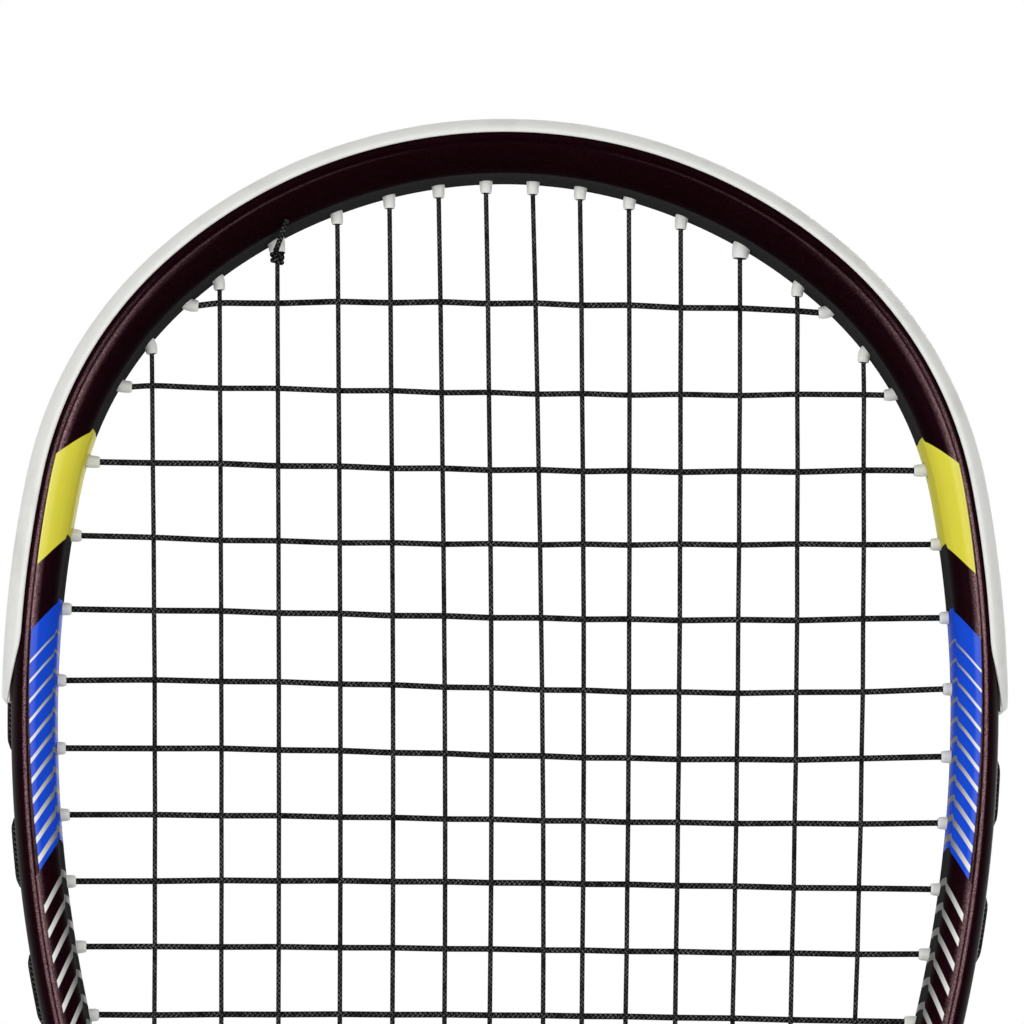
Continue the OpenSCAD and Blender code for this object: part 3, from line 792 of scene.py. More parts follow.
def hoop_rows(plan, lengths):
    """Rings from the crown to the end of the shaft, and the places of their points."""
    wall, rings, places = -plan.half, [], []
    for length in lengths:
        s = plan.station(length, wall)
        start, along = plan.at(s, wall), plan.length(s)
        rings.append(hoop_ring(start, plan.at(s, plan.half), 0, plan.at(s, plan.wall(s)) - start))
        places.append(hoop_places(plan, along))
    for k in spread(FIRST_THROAT_RING, THROAT_STEPS, THROAT_SHARE):
        outer = plan.yoke - plan.yoke_r * heading(lerp(plan.LEG, 90, k / THROAT_STEPS))
        rings.append(hoop_ring(throat_inner(plan, k, start), outer, (k - 1) / (THROAT_STEPS - 1)))
        places.append(hoop_places(plan, along + THROAT_LENGTH * k))
    low = bpy.context.scene.racket_hoop.shaft_low / MM
    for drop in spread(0, plan.yoke.y - low, SHAFT_STEP)[1:]:
        z = plan.yoke.y - drop
        rings.append(hoop_ring(Vector((0, z)), Vector((plan.shaft_half, z)), 1))
        places.append(hoop_places(plan, along + THROAT_LENGTH * THROAT_STEPS + drop))
    return rings, places


def add_hole(form, plan, border, border_places, here, radius):
    """Joins a round string hole, at a length along the plain wall, to the border of its patch."""
    wall, count, begin = -plan.half, len(border), len(form.points)
    rim, base, rim_places = [], [], []
    for m in range(count):
        turn = math.tau * m / count
        s, v = plan.station(here + radius * math.cos(turn), wall), radius * math.sin(turn)
        rim.append(plan.spot(s, plan.wall(s), v))
        base.append(plan.spot(s, plan.wall(s) + HOLE_DEPTH, v))
        rim_places.append((plan.length(s), abs(v) - TUBE[CORNER][1]))
    form.points += rim + base
    middle = plan.station(here, wall)
    in_hole = (plan.length(middle), HOLE_PLACE)
    for m in range(count):
        n = (m + 1) % count
        form.face([border[m], border[n], begin + n, begin + m],
                  [border_places[m], border_places[n], rim_places[n], rim_places[m]])
        form.face([begin + m, begin + n, begin + count + n, begin + count + m], [in_hole] * 4)
    form.fan(begin + count, count, plan.spot(middle, plan.wall(middle) + HOLE_DEPTH, 0), in_hole)


def hoop_form(plan, bed, grommets):
    """Right half of the hoop with its holes, then its mirror image."""
    lengths, patches = hole_rows(plan, bed)
    rings, places = hoop_rows(plan, lengths)
    cut = {first + step for first, _, _ in patches for step in range(len(PATCH_STEPS))}

    def keep(i, j):
        """Leaves out the patches of the holes, and the faces in the middle plane."""
        if i in cut and j in (AROUND - 2, AROUND - 1, 0, 1):
            return False
        k = (j + 1) % AROUND
        corners = (rings[i][j], rings[i][k], rings[i + 1][j], rings[i + 1][k])
        return any(abs(p.x) > IN_MIDDLE for p in corners)

    form = Form()
    first = form.skin(rings, places, keep=keep)
    form.lid(first + (len(rings) - 1) * AROUND, AROUND, places[-1][0])
    for ring, here, tie in patches:
        border = [first + (ring + i) * AROUND + j % AROUND for i, j in PATCH_EDGE]
        border_places = [places[ring + i][abs(j)] for i, j in PATCH_EDGE]
        barrel = grommets.tie_barrel if tie else grommets.barrel
        add_hole(form, plan, border, border_places, here, barrel / MM / 2 + HOLE_GAP)
    form.mirror()
    return form


# Print on the front and back of the hoop. Blocks: both ends, as lengths from the crown at the inner corner
YELLOW_BLOCK, BLUE_BLOCK = (114.4, 138.0), (151.7, 202.5)
# Stripes: first one, pitch, count, width of the first, growth from one to the next, extra slant
BLUE_STRIPES = (158.6, 4.17, 11, 0.62, 0.085, 0.0)
LOW_STRIPES = (209.7, 5.3, 13, 1.6, 0.0, 0.17)
SLANT, WALL_SLANT, PRINT_SOFT = 1.18, 0.1, 0.08
# Outer edge of the print, and how it comes nearer to the inner corner beyond a length from the crown
PRINT_EDGE, EDGE_FROM, EDGE_TAPER = 6.6, 120, 0.0117
# Stripes are darkest up to a distance from the inner corner and brighten over the next
FADE_FROM, FADE_OVER = 1.2, 4.8
# Painted shade inside a string hole, which is modelled only a short way in
HOLE_SHADE = (0.004, 0.004, 0.004)


def side_print(along, across):
    """Masks of the yellow block, the blue block and the stripes, and of both blocks without their
    outer edge."""
    outward, inward = across.most(0), (0 - across).most(0)
    lean = along - outward * SLANT - inward * WALL_SLANT
    film = 1 - across.above(PRINT_EDGE - (along - EDGE_FROM).most(0) * EDGE_TAPER, 0.1)
    beside_yellow, beside_blue = [lean.between(*block, PRINT_SOFT) for block in (YELLOW_BLOCK, BLUE_BLOCK)]

    def stripes(first, pitch, count, thin, growth, slant):
        turn = (lean - slant * outward - first) / pitch
        half = (turn.most(0) * growth + thin) / 2
        off = abs(turn - (turn + 0.5).floor()) * pitch
        return (1 - off.above(half, PRINT_SOFT)) * turn.between(-0.5, count - 0.5, 0.01) * film

    silver = stripes(*BLUE_STRIPES).most(stripes(*LOW_STRIPES))
    return beside_yellow * film, beside_blue * film, silver, beside_yellow.most(beside_blue)


def painted_ridge_highlight(along, across, beside_blocks):
    """Where a highlight is painted into the lacquer's colour and its coat is made glossier: a crest on the
    shoulders, and on the sides a line on either side of the crease. All fade towards the shaft."""
    side = along.above(92.0, 30.0) * (1 - beside_blocks)
    crest = across.between(5.8, 6.2, 0.15) * along.above(56.0, 40.0) * 0.3
    inside = across.above(5.35, 0.75)
    inner = inside * inside * (1 - across.above(6.3, 0.2)) * side
    outer = across.between(6.7, 7.3, 0.16) * along.above(112.0, 34.0) * 0.8
    return (inner.most(crest) + outer).least(1) * (1 - along.above(260.0, 120.0) * 0.65)


def lacquer(hoop):
    """Maroon lacquer with metal flakes, blocks of colour, slanted stripes, a matt inner wall and painted
    shade inside the string holes. On the sides the raised band beside the crease has a painted highlight and
    a glossier coat."""
    paint = new_paint("maroon_lacquer")
    along, across = paint.surface_place()
    yellow, blue, silver, beside_blocks = side_print(along, across)
    ridge_highlight = painted_ridge_highlight(along, across, beside_blocks)
    on_wall, in_hole = 1 - across.above(-0.2, 0.25), 1 - across.above(-8.0, 0.3)
    print_mask = yellow.most(blue).most(silver)
    plain = (1 - print_mask) * (1 - on_wall)
    sparkle = (0.5 - paint.cells(5200.0)).most(0) * 2
    speckle = (sparkle * 1.5 + 0.16).least(1)
    cloud, worn = paint.grain(60.0, 3.0), paint.grain(300.0, 4.0)
    # This colour is mixed in beside the crease as a painted highlight, and faintly over the flakes themselves
    body = paint.mix((ridge_highlight * speckle + sparkle * cloud * 0.05).least(1), hoop.maroon, hoop.flake_and_highlight)
    wall = paint.mix(paint.grain(900.0, 3.0), tint(hoop.wall, 0.75), tint(hoop.wall, 1.25))
    shown = paint.mix(on_wall, body, wall)
    shown = paint.mix(yellow, shown, paint.mix(worn, tint(hoop.yellow, 0.94), hoop.yellow))
    shown = paint.mix(blue, shown, paint.mix(worn, tint(hoop.blue, 0.9), hoop.blue))
    bright = ((across - FADE_FROM) / FADE_OVER).most(0).least(1)
    shown = paint.mix(silver, shown, paint.mix(bright, tint(hoop.silver, 0.25), hoop.silver))
    shown = paint.mix(on_wall * print_mask * 0.15, shown, hoop.wall)
    # Painted shade inside the string holes
    shown = paint.mix(in_hole, shown, HOLE_SHADE)
    sheen = across.above(4.95, 0.35) + ((0 - across).most(0) * 0.05).least(0.12)
    peel = paint.grain(700.0, 1.0) * 0.25 + print_mask * 0.5 + sparkle * plain * 0.3
    return paint.shade(
        base_color=shown, metallic=plain * 0.5, roughness=0.42 + on_wall * 0.2 + worn * 0.06,
        coat_weight=ridge_highlight * speckle * plain + print_mask * sheen, coat_roughness=0.3,
        specular_ior_level=0.0, normal=paint.relief(peel, 0.00003))


class RACKET_OT_hoop(bpy.types.Operator):
    """Models the hoop, throat and shaft in one piece, with its string holes"""
    bl_idname = "racket.hoop"
    bl_label = "Hoop"

    def execute(self, context):
        plan = Plan()
        form = hoop_form(plan, Bed(plan), context.scene.racket_grommets)
        form.piece("lacquered_hoop", lacquer(context.scene.racket_hoop), "hoop_lacquer", "frame")
        return {"FINISHED"}


# Nylon bumper and grommet strips

# Half sections, from the middle: distance outward from the middle of the tube, distance from
# the string plane
BUMPER_OUTSIDE = ((4.4, 0), (4.4, 2.3), (4.45, 2.65), (4.8, 2.8), (6.4, 2.85), (6.75, 2.95), (6.93, 3.25),
                  (7, 3.8), (6.95, 4.8), (6.8, 5.8), (6.5, 6.8), (6.05, 7.7), (5.45, 8.6), (4.75, 9.4),
                  (4.35, 9.75), (4.0, 9.95), (3.7, 9.98), (3.45, 9.9), (3.3, 9.78))
BUMPER_INSIDE = ((3.26, 9.66), (4.2, 8.8), (4.95, 7.6), (5.3, 5.75), (5.3, 3.85), (3.5, 3.6), (3.3, 3.5),
                 (3.3, 0))
STRIP = ((4.4, 0), (4.4, 3.2), (4.33, 3.46), (4.1, 3.6), (3.7, 3.6), (3.45, 3.52), (3.3, 3.3), (3.3, 0))
BUMPER_HIGH = max(BUMPER_OUTSIDE)[0]
# Station of the bumper's end, length of its taper, radius of its corner and rings in that corner
BUMPER_END, BUMPER_TAPER, BUMPER_CORNER, CORNER_SHARES = 90.25, 12.5, 1.2, (0.6, 0.3, 0.1, 0.0)
# Point to which the flange is drawn in, how much of it is left, and its points in the half section
LIP, LIP_REACH = (6.0, 5.4), 0.06
FLANGE = range(9, len(BUMPER_OUTSIDE) + 3)
# Strips: longest step along them, half the gap between two, and length past the last hole
STRIP_STEP, STRIP_GAP, STRIP_PAST = 2.5, 0.3, 2.4
# Station at which the gap is measured, and how much smaller and further on the last ring of a strip is
SIDE_STATION, END_SHRINK, END_STEP = 100, 0.06, 0.18
# Outer end of a barrel from the middle of the tube, points round it and step along it
BARREL_TOP, BARREL_SIDES, BARREL_STEP = 4.55, 18, 0.3
# Pegs are shorter on the sides, beyond a station, and no two are moulded quite alike
SHORTER, SHORT_FROM, SHORT_OVER, PEG_SEED, PEG_CHANCE = 0.22, 74, 14, 11, (-0.25, 0.2)
# Taper of a peg, then length from its tip and share of its radius, outside and in the mouth of its bore
PEG_TAPER = 0.13
PEG_NOSE, PEG_MOUTH = ((-0.28, 0.865), (-0.1, 0.82), (0, 0.75)), ((0.01, 0.69), (-0.04, 0.65), (-0.3, 0.0))
# Second place of a point on the nylon, which says where shade is painted: inside a bore
ON_NYLON, IN_BORE = 0.0, 1.0


def bumper_half(left):
    """Half section of the bumper at a distance from its end, where its flange is drawn in to a lip
    and its outer corner is rounded."""
    reach = lerp(LIP_REACH, 1, min(1, left / BUMPER_TAPER))
    off = max(0, BUMPER_CORNER - left)
    trim = BUMPER_CORNER - math.sqrt(BUMPER_CORNER ** 2 - off ** 2)
    half = []
    for n, (u, depth) in enumerate(BUMPER_OUTSIDE + BUMPER_INSIDE):
        if n in FLANGE:
            u, depth = lerp(LIP[0], u, reach), lerp(LIP[1], depth, reach)
        half.append((min(u, BUMPER_HIGH - trim), depth))
    return half


def eased_end(end, beside):
    """The last ring of a strip: a little smaller, and a little further on."""
    middle, way = sum(end, Vector()) / len(end), (end[0] - beside[0]).normalized()
    return [lerp(p, middle, END_SHRINK) + END_STEP * way for p in end]


def add_strip(form, plan, stations, half_at):
    """A moulded strip along the hoop, with eased ends."""
    rings = []
    for s in stations:
        half = half_at(s)
        front = [plan.spot(s, u, -depth) for u, depth in half]
        rings.append(front + [plan.spot(s, u, depth) for u, depth in half[-2:0:-1]])
    rings = [eased_end(*rings[:2])] + rings + [eased_end(*rings[:-3:-1])]
    count = len(rings[0])
    first = form.skin(rings, [[(n, ON_NYLON)] * (count + 1) for n in range(len(rings))])
    form.lid(first, count, (0, ON_NYLON))
    form.lid(first + (len(rings) - 1) * count, count, (0, ON_NYLON))


def cut_line(line, lengths):
    """Points of a line at the given lengths from its start."""
    runs, points, n = run_length(line), [], 0
    for here in lengths:
        while n < len(line) - 2 and runs[n + 1] < here:
            n += 1
        points.append(lerp(line[n], line[n + 1], (here - runs[n]) / (runs[n + 1] - runs[n])))
    return points


def add_barrel(form, plan, bed, grommets, s, tie, way, chance):
    """A grommet barrel with its rounded tip and its bore, bent a little by the pull of its string."""
    outer = (grommets.tie_barrel if tie else grommets.barrel) / MM / 2
    bore = (grommets.tie_bore if tie else grommets.bore) / MM / 2
    line = smooth_line([plan.spot(s, BARREL_TOP, 0)] + bed.mouth(s, 0, way), BARREL_STEP)
    wall = BARREL_TOP - plan.wall(s)
    shorter = 1 - SHORTER * ease((abs(s) - SHORT_FROM) / SHORT_OVER)
    tip = wall + bed.peg * shorter + chance.uniform(*PEG_CHANCE)
    outside = [(0, 0.97), (0.15, 1), (wall - 0.6, 1)]
    outside += [(here, 1 - PEG_TAPER * (here - wall) / bed.peg) for here in spread(wall, tip - 0.5, 0.5)]
    outside += [(tip + step, share) for step, share in PEG_NOSE]
    inside = [(tip + step, share) for step, share in PEG_MOUTH] + [(wall, 0.0), (0.4, 0.0), (0, 0.0)]
    lengths = sorted({here for here, _ in outside + inside})
    spots = dict(zip(lengths, frames_along(cut_line(line, lengths))))
    rings = [circle(spots[here], outer * share, BARREL_SIDES) for here, share in outside]
    rings += [circle(spots[here], max(bore, outer * share), BARREL_SIDES) for here, share in inside]
    rings.append(rings[0])
    kinds = [ON_NYLON] * (len(outside) + 2) + [IN_BORE] * (len(inside) - 3) + [ON_NYLON, ON_NYLON]
    form.skin(rings, [[(s, kind)] * (BARREL_SIDES + 1) for kind in kinds])


def nylon(grommets):
    """Slightly milky moulded nylon, rubbed here and there, with painted shade inside the bores."""
    paint = new_paint("white_nylon")
    _, bore = paint.surface_place()
    rubbed = paint.grain(90.0, 5.0, 0.6).above(0.62, 0.08)
    cloud = paint.grain(400.0, 3.0)
    shown = paint.mix(cloud, tint(grommets.nylon, 0.93), grommets.nylon)
    shown = paint.mix(rubbed * 0.35, shown, grommets.scuff)
    # Painted shade inside the bores, where the nylon is drawn nearly black
    shown = paint.mix(bore.most(0).least(1) * 0.85, shown, tint(grommets.nylon, 0.12))
    return paint.shade(base_color=shown, roughness=0.42 + rubbed * 0.15 + cloud * 0.06,
                       specular_ior_level=0.35,
                       normal=paint.relief(paint.grain(1500.0, 2.0) * 0.5 + rubbed * 0.3, 0.00004))


class RACKET_OT_grommets(bpy.types.Operator):
    """Models the bumper guard and the four grommet strips with their barrels"""
    bl_idname = "racket.grommets"
    bl_label = "Bumper and grommets"

    def execute(self, context):
        grommets = context.scene.racket_grommets
        plan = Plan()
        bed = Bed(plan)
        finish = nylon(grommets)
        chance = random.Random(PEG_SEED)
        bumper_holes, side_holes, throat_holes = bed.holes()
        gap = STRIP_GAP * plan.per_mm(SIDE_STATION)
        split = (bed.side[bed.LAST_SIDE_CROSS - 1] + bed.low[bed.MAINS - 1]) / 2
        end = plan.length(BUMPER_END)

        def bumper_at(s):
            return bumper_half(max(0, end - plan.length(abs(s))))

        def stations(low, high):
            return [plan.station(here) for here in spread(plan.length(low), plan.length(high), STRIP_STEP)]

        def add_barrels(form, holes, sign):
            for s, tie, way in holes:
                way = Vector((sign * way.x, way.y, way.z))
                add_barrel(form, plan, bed, grommets, sign * s, tie, way, chance)

        form = Form()
        half = stations(0, plan.station(end - BUMPER_CORNER))
        half += [plan.station(end - BUMPER_CORNER * share) for share in CORNER_SHARES]
        add_strip(form, plan, [-s for s in half[:0:-1]] + half, bumper_at)
        for sign in (-1, 1):
            add_barrels(form, bumper_holes, sign)
        form.piece("bumper_guard_nylon", finish, "white_nylon", "bumper_guard")
        runs = (("side_strip", BUMPER_END + 2 * gap, split - gap, side_holes),
                ("throat_strip", split + gap, bed.low[0] + STRIP_PAST, throat_holes))
        for name, low, high, holes in runs:
            for sign, side in ((-1, "left"), (1, "right")):
                form = Form()
                add_strip(form, plan, [sign * s for s in stations(low, high)], lambda s: STRIP)
                add_barrels(form, holes, sign)
                form.piece(f"{name}_{side}_nylon", finish, "white_nylon", f"{name}_{side}")
        return {"FINISHED"}


# Strings and knots

STRING_SIDES, STRING_STEP = 8, 1.25
# Strands of a braid that run each way round, and how many of them pass in a millimetre
STRANDS, PICKS = 3, 0.95


def braid(name, hollow, crest_sheen):
    """Fine braided string: two sets of strands that pass over and under each other, with a painted sheen in
    patches on the crests.
    """
    paint = new_paint(name)
    around, along = paint.surface_place()
    a, b = around * STRANDS + along * PICKS, around * STRANDS - along * PICKS
    over = (a.floor() + b.floor()) % 2
    crest = abs((a * math.pi).sine()) * over + abs((b * math.pi).sine()) * (1 - over)
    fuzz = paint.grain(2500.0, 2.0)
    patch = paint.grain(420.0, 3.0)
    # Painted sheen: the crests lighten in patches, while the string's own gloss is turned off
    crest_glint = crest.above(0.86, 0.1) * (patch * 2.0 - 0.55).most(0).least(1)
    shown = paint.mix((crest_glint + fuzz * 0.05).least(1), hollow, crest_sheen)
    return paint.shade(base_color=shown, roughness=0.5 + fuzz * 0.12, specular_ior_level=0.0,
                       normal=paint.relief(crest + fuzz * 0.3, 0.00005))


def main_line(bed):
    """The main string from its left tie-off, up and down through every hole, to its right one."""
    last = 2 * bed.MAINS
    line = bed.tail(bed.low_of(2), -bed.TIE_V)[::-1]
    line += bed.run(bed.low_of(2), bed.low_of(1), bed.LANE, -bed.TIE_V)
    for i in range(1, last + 1):
        upward = i % 2 == 1
        line += bed.main_up(i)[::1 if upward else -1]
        if i < last:
            end_of, v_of = (bed.top_of, bed.top_v) if upward else (bed.low_of, bed.low_v)
            line += bed.run(end_of(i), end_of(i + 1), bed.LANE, v_of(i), v_of(i + 1))
    line += bed.run(bed.low_of(last), bed.low_of(last - 1), bed.LANE, 0.0, -bed.TIE_V)
    return line + bed.tail(bed.low_of(last - 1), -bed.TIE_V)


def cross_line(bed):
    """The cross string from its top tie-off, from side to side through every hole, to its low one."""
    first_tie = bed.top_of(bed.MAINS + 1 - bed.TIE_TOP)
    last_tie = bed.low_of(bed.MAINS + bed.TIES_LOW[0])
    line = bed.tail(first_tie, -bed.TIE_V)[::-1]
    line += bed.run(first_tie, -bed.side[0], -bed.LANE, -bed.TIE_V)
    for k in range(1, bed.CROSSES + 1):
        sign = 1 if k % 2 else -1
        line += bed.cross_over(k)[::sign]
        if k < bed.CROSSES:
            line += bed.run(sign * bed.side[k - 1], sign * bed.side[k], -bed.LANE)
    line += bed.run(bed.side[-1], last_tie, -bed.LANE, 0.0, -bed.TIE_V)
    return line + bed.tail(last_tie, -bed.TIE_V)


class RACKET_OT_strings(bpy.types.Operator):
    """Models the main string and the cross string, each in one length"""
    bl_idname = "racket.strings"
    bl_label = "Strings"

    def execute(self, context):
        strings = context.scene.racket_strings
        bed = Bed(Plan())
        runs = (("main_string", main_line(bed), strings.main, strings.main_shade),
                ("cross_string", cross_line(bed), strings.cross, strings.cross_shade))
        for name, line, wide, shade in runs:
            form = Form()
            add_string(form, smooth_line(line, STRING_STEP), wide / MM / 2, STRING_SIDES)
            form.piece(name + "_braid", braid(name, shade, strings.crest), "black_string", name, sharp=180)
        return {"FINISHED"}


# Turns of a knot, where it ends and starts past the peg, and its radius there as a share of the string's
KNOT_TURNS, KNOT_NEAR, KNOT_FAR, KNOT_TIGHT, KNOT_LOOSE = 2.25, 0.1, 2.8, 1.4, 1.75
KNOT_STEPS, KNOT_STEP, KNOT_SIDES, KNOT_PULL = 26, 0.5, 10, 0.92
# Count of the points of a main from the groove to past its peg
PEG_POINTS = 7
# Cut tails: of a low knot as lengths on, to the front and along the main; of the top knot as points
LOW_TAIL = ((1.6, 0.6, 0.0), (3.4, 0.9, -1.2))
TOP_TAIL = ((-48.9, -3.4, 657.7), (-47.75, -6.8, 660.3), (-46.6, -9.4, 662.9))


def knot_line(bed, i, at_top, radius):
    """Turns round main i, wound back towards its peg, and the cut tail."""
    along = bed.main_up(i)[::-1 if at_top else 1]
    mouth, after = along[PEG_POINTS - 1:PEG_POINTS + 1]
    way = (after - mouth).normalized()
    front = Vector((0, -1, 0))
    front = (front - front.dot(way) * way).normalized()
    side = way.cross(front)
    line = []
    for n in range(KNOT_STEPS + 1):
        share = n / KNOT_STEPS
        turn = math.tau * KNOT_TURNS * (share - 1)
        wide = radius * lerp(KNOT_TIGHT, KNOT_LOOSE, share)
        line.append(mouth + lerp(KNOT_FAR, KNOT_NEAR, share) * way
                    + wide * (math.cos(turn) * front + math.sin(turn) * side))
    if at_top:
        return line + [Vector(p) for p in TOP_TAIL]
    end, out = line[-1], (line[-1] - line[-2]).normalized()
    return line + [end + on * out + ahead * front + up * way for on, ahead, up in LOW_TAIL]


class RACKET_OT_knots(bpy.types.Operator):
    """Models the knots that tie off both ends of both strings"""
    bl_idname = "racket.knots"
    bl_label = "Tie-off knots"

    def execute(self, context):
        strings = context.scene.racket_strings
        bed = Bed(Plan())
        form = Form()
        ties = [(bed.MAINS + 1 - bed.TIE_TOP, True), (2, False), (2 * bed.MAINS - 1, False),
                (bed.MAINS + bed.TIES_LOW[0], False)]
        for i, at_top in ties:
            radius = (strings.cross if at_top else strings.main) / MM / 2
            line = smooth_line(knot_line(bed, i, at_top, radius), KNOT_STEP)
            add_string(form, line, KNOT_PULL * radius, KNOT_SIDES)
        form.piece("tie_off_knots_braid", bpy.data.materials["cross_string"], "black_string",
                   "tie_off_knots", sharp=180)
        return {"FINISHED"}


# Handle

# Points round the handle, and how sharp its softened corners are
HANDLE_SIDES, ROUNDING = 96, 34


def handle_radius(turn, out):
    """Distance from the shaft's middle to the bevelled handle outline, with softened corners."""
    handle = bpy.context.scene.racket_handle
    w, d = handle.core_width / MM / 2 + out, handle.core_depth / MM / 2 + out
    b = handle.core_bevel / MM + out * (2 - math.sqrt(2))
    corner = (w + d - b) / math.sqrt(2)
    total = 0.0
    for k in range(8):
        reach = (w, corner, d, corner)[k % 4]
        total += max(0.0, math.cos(turn - k * math.pi / 4) / reach) ** ROUNDING
    return total ** (-1 / ROUNDING)


def handle_point(turn, out, z):
    radius = handle_radius(turn, out)
    return Vector((radius * math.cos(turn), radius * math.sin(turn), z))


def handle_turns():
    return [math.tau * k / HANDLE_SIDES for k in range(HANDLE_SIDES)]


def add_turned(form, profile):
    """A skin with the handle's outline, from heights and distances out. Gives its first point."""
    rings = [[handle_point(turn, out, z) for turn in handle_turns()] for z, out in profile]
    shares = [k / HANDLE_SIDES for k in range(HANDLE_SIDES + 1)]
    return form.skin(rings, [[(share, z) for share in shares] for z, _ in profile])


# Heights of the grip's ends, and its outside and inside from the core
GRIP_LOW, GRIP_TOP, GRIP_OUT, GRIP_IN = 12.0, 204.0, 2.0, 0.3
# Share of a turn's width, and how much of the step is left there
WRAP = ((0.0, 1.0), (0.02, 0.98), (0.1, 0.72), (0.22, 0.4), (0.38, 0.12), (0.55, 0.0), (0.8, 0.0),
        (0.93, 0.02), (0.97, 0.12), (0.988, 0.4))
# Profiles of the finishing tape and the butt cap: height, distance out from the core
TAPE_PROFILE = ((199, 2.1), (199, 2.5), (199.3, 2.6), (203.4, 2.6), (204.4, 2.45), (205.3, 1.5),
                (205.8, 0.7), (206, 0.45), (205.6, 0.3), (204.3, 0.3), (204.3, 2.06), (199, 2.1))
CAP_PROFILE = ((0.7, -7.5), (0.7, -3.6), (0.62, -3.2), (0.2, -2.6), (0.04, -2.2), (0, -1.8), (0, 2.4),
               (0.08, 2.9), (0.35, 3.45), (0.8, 3.8), (1.4, 3.97), (2.2, 4), (6.6, 4), (7.6, 3.86),
               (9, 3.3), (10.5, 2.6), (11.3, 2.25), (11.65, 2.0), (11.75, 1.7), (11.78, 0.2), (23.4, 0.1),
               (23.7, -0.2), (23.7, -8))
# Girth of the grip, and the distances between the small holes of its tape, across and along
GIRTH, HOLES_ACROSS, HOLES_ALONG, TAPE_EDGE = 92.0, 4.8, 5.75, 2.4


def grip_rings(handle):
    """Rows of tape wound up the core, each turn lapping the one below. They end one turn higher than
    they start, so each is closed by the row a turn on."""
    lead, step = handle.lead / MM, handle.step / MM
    rows = []
    for n in range(math.floor(GRIP_LOW / lead) - 1, math.ceil(GRIP_TOP / lead) + 1):
        for share, left in WRAP:
            row = []
            for turn in handle_turns():
                z = (n + share + turn / math.tau) * lead
                row.append(handle_point(turn, GRIP_OUT - step * left, min(max(z, GRIP_LOW), GRIP_TOP)))
            rows.append(row)
    return [row + [Vector(after[0])] for row, after in zip(rows, rows[len(WRAP):])]


class RACKET_OT_grip(bpy.types.Operator):
    """Models the wound grip tape and the tape that finishes it"""
    bl_idname = "racket.grip"
    bl_label = "Grip"

    def execute(self, context):
        handle = context.scene.racket_handle
        low, top = [[handle_point(turn, GRIP_IN, z) for turn in handle_turns() + [0.0]]
                    for z in (GRIP_LOW, GRIP_TOP)]
        rings = [low] + grip_rings(handle) + [top, low]
        places = [[(k / HANDLE_SIDES, p.z) for k, p in enumerate(ring)] for ring in rings]
        form = Form()
        form.skin(rings, places, closed=False)
        form.piece("wound_grip", grip_paint(handle), "grip_tape", "grip_tape", sharp=50)
        form = Form()
        add_turned(form, TAPE_PROFILE)
        form.piece("finishing_tape_band", tape_paint(handle), "finishing_tape", "finishing_tape", sharp=50)
        return {"FINISHED"}


def grip_paint(handle):
    """Soft grip tape: fine grain, rows of small holes with painted shade in them, and a pressed line near
    each edge.
    """
    paint = new_paint("grip_tape")
    around, height = paint.surface_place()
    lead = handle.lead / MM
    across = ((height / lead - around) % 1.0) * lead
    row = abs((across / HOLES_ACROSS) % 1.0 - 0.5) * HOLES_ACROSS
    hole = abs((around * GIRTH / HOLES_ALONG) % 1.0 - 0.5) * HOLES_ALONG
    pit = (1 - (row * row + hole * hole).above(0.3, 0.08)) * across.between(TAPE_EDGE, lead - TAPE_EDGE, 0.2)
    line = 1 - abs(across - 1.3).above(0.25, 0.1)
    fine, coarse = paint.grain(1800.0, 3.0), paint.grain(250.0, 3.0)
    shown = paint.mix(coarse, tint(handle.grip, 0.8), tint(handle.grip, 1.35))
    # Painted shade in the small holes
    shown = paint.mix(pit, shown, tint(handle.grip, 0.25))
    return paint.shade(base_color=shown, roughness=0.62 + fine * 0.16 - coarse * 0.06, specular_ior_level=0.3,
                       normal=paint.relief(fine * 0.3 + coarse * 0.2 - pit * 1.4 - line * 0.6, 0.00012))


def tape_paint(handle):
    """Thin stretchy vinyl tape with faint stretch marks."""
    paint = new_paint("finishing_tape")
    around, height = paint.surface_place()
    marks = paint.node("ShaderNodeTexNoise", {"noise_dimensions": "1D"},
                       {"W": height * 2.2 + around * 0.6, "Scale": 1.0, "Detail": 3.0})
    dust = paint.grain(900.0, 4.0)
    shown = paint.mix(dust, tint(handle.tape, 0.8), tint(handle.tape, 1.5))
    return paint.shade(base_color=shown, roughness=0.3 + marks * 0.18, specular_ior_level=0.4,
                       normal=paint.relief(marks + dust * 0.15, 0.00006))


class RACKET_OT_butt_cap(bpy.types.Operator):
    """Models the flared cap on the butt of the handle"""
    bl_idname = "racket.butt_cap"
    bl_label = "Butt cap"

    def execute(self, context):
        form = Form()
        first = add_turned(form, CAP_PROFILE)
        for n in (0, len(CAP_PROFILE) - 1):
            form.fan(first + n * HANDLE_SIDES, HANDLE_SIDES, Vector((0, 0, CAP_PROFILE[n][0])), (0, 0))
        form.piece("moulded_butt_cap", moulded(context.scene.racket_handle), "butt_plastic", "butt_cap")
        return {"FINISHED"}


def moulded(handle):
    """Moulded plastic with a spark-eroded grain, rubbed bright on its edges."""
    paint = new_paint("butt_plastic")
    _, height = paint.surface_place()
    erosion, cloud = paint.grain(2200.0, 3.0), paint.grain(120.0, 3.0)
    edge = height.between(-0.2, 1.6, 0.5) * paint.grain(500.0, 3.0).above(0.5, 0.15)
    shown = paint.mix(cloud, tint(handle.cap, 0.85), tint(handle.cap, 1.3))
    shown = paint.mix(edge * 0.5, shown, tint(handle.cap, 3.2))
    return paint.shade(base_color=shown, roughness=0.5 + erosion * 0.12 - edge * 0.12, specular_ior_level=0.4,
                       normal=paint.relief(erosion, 0.00006))


COLLAR_LOW, COLLAR_SIDES = 195.0, 80
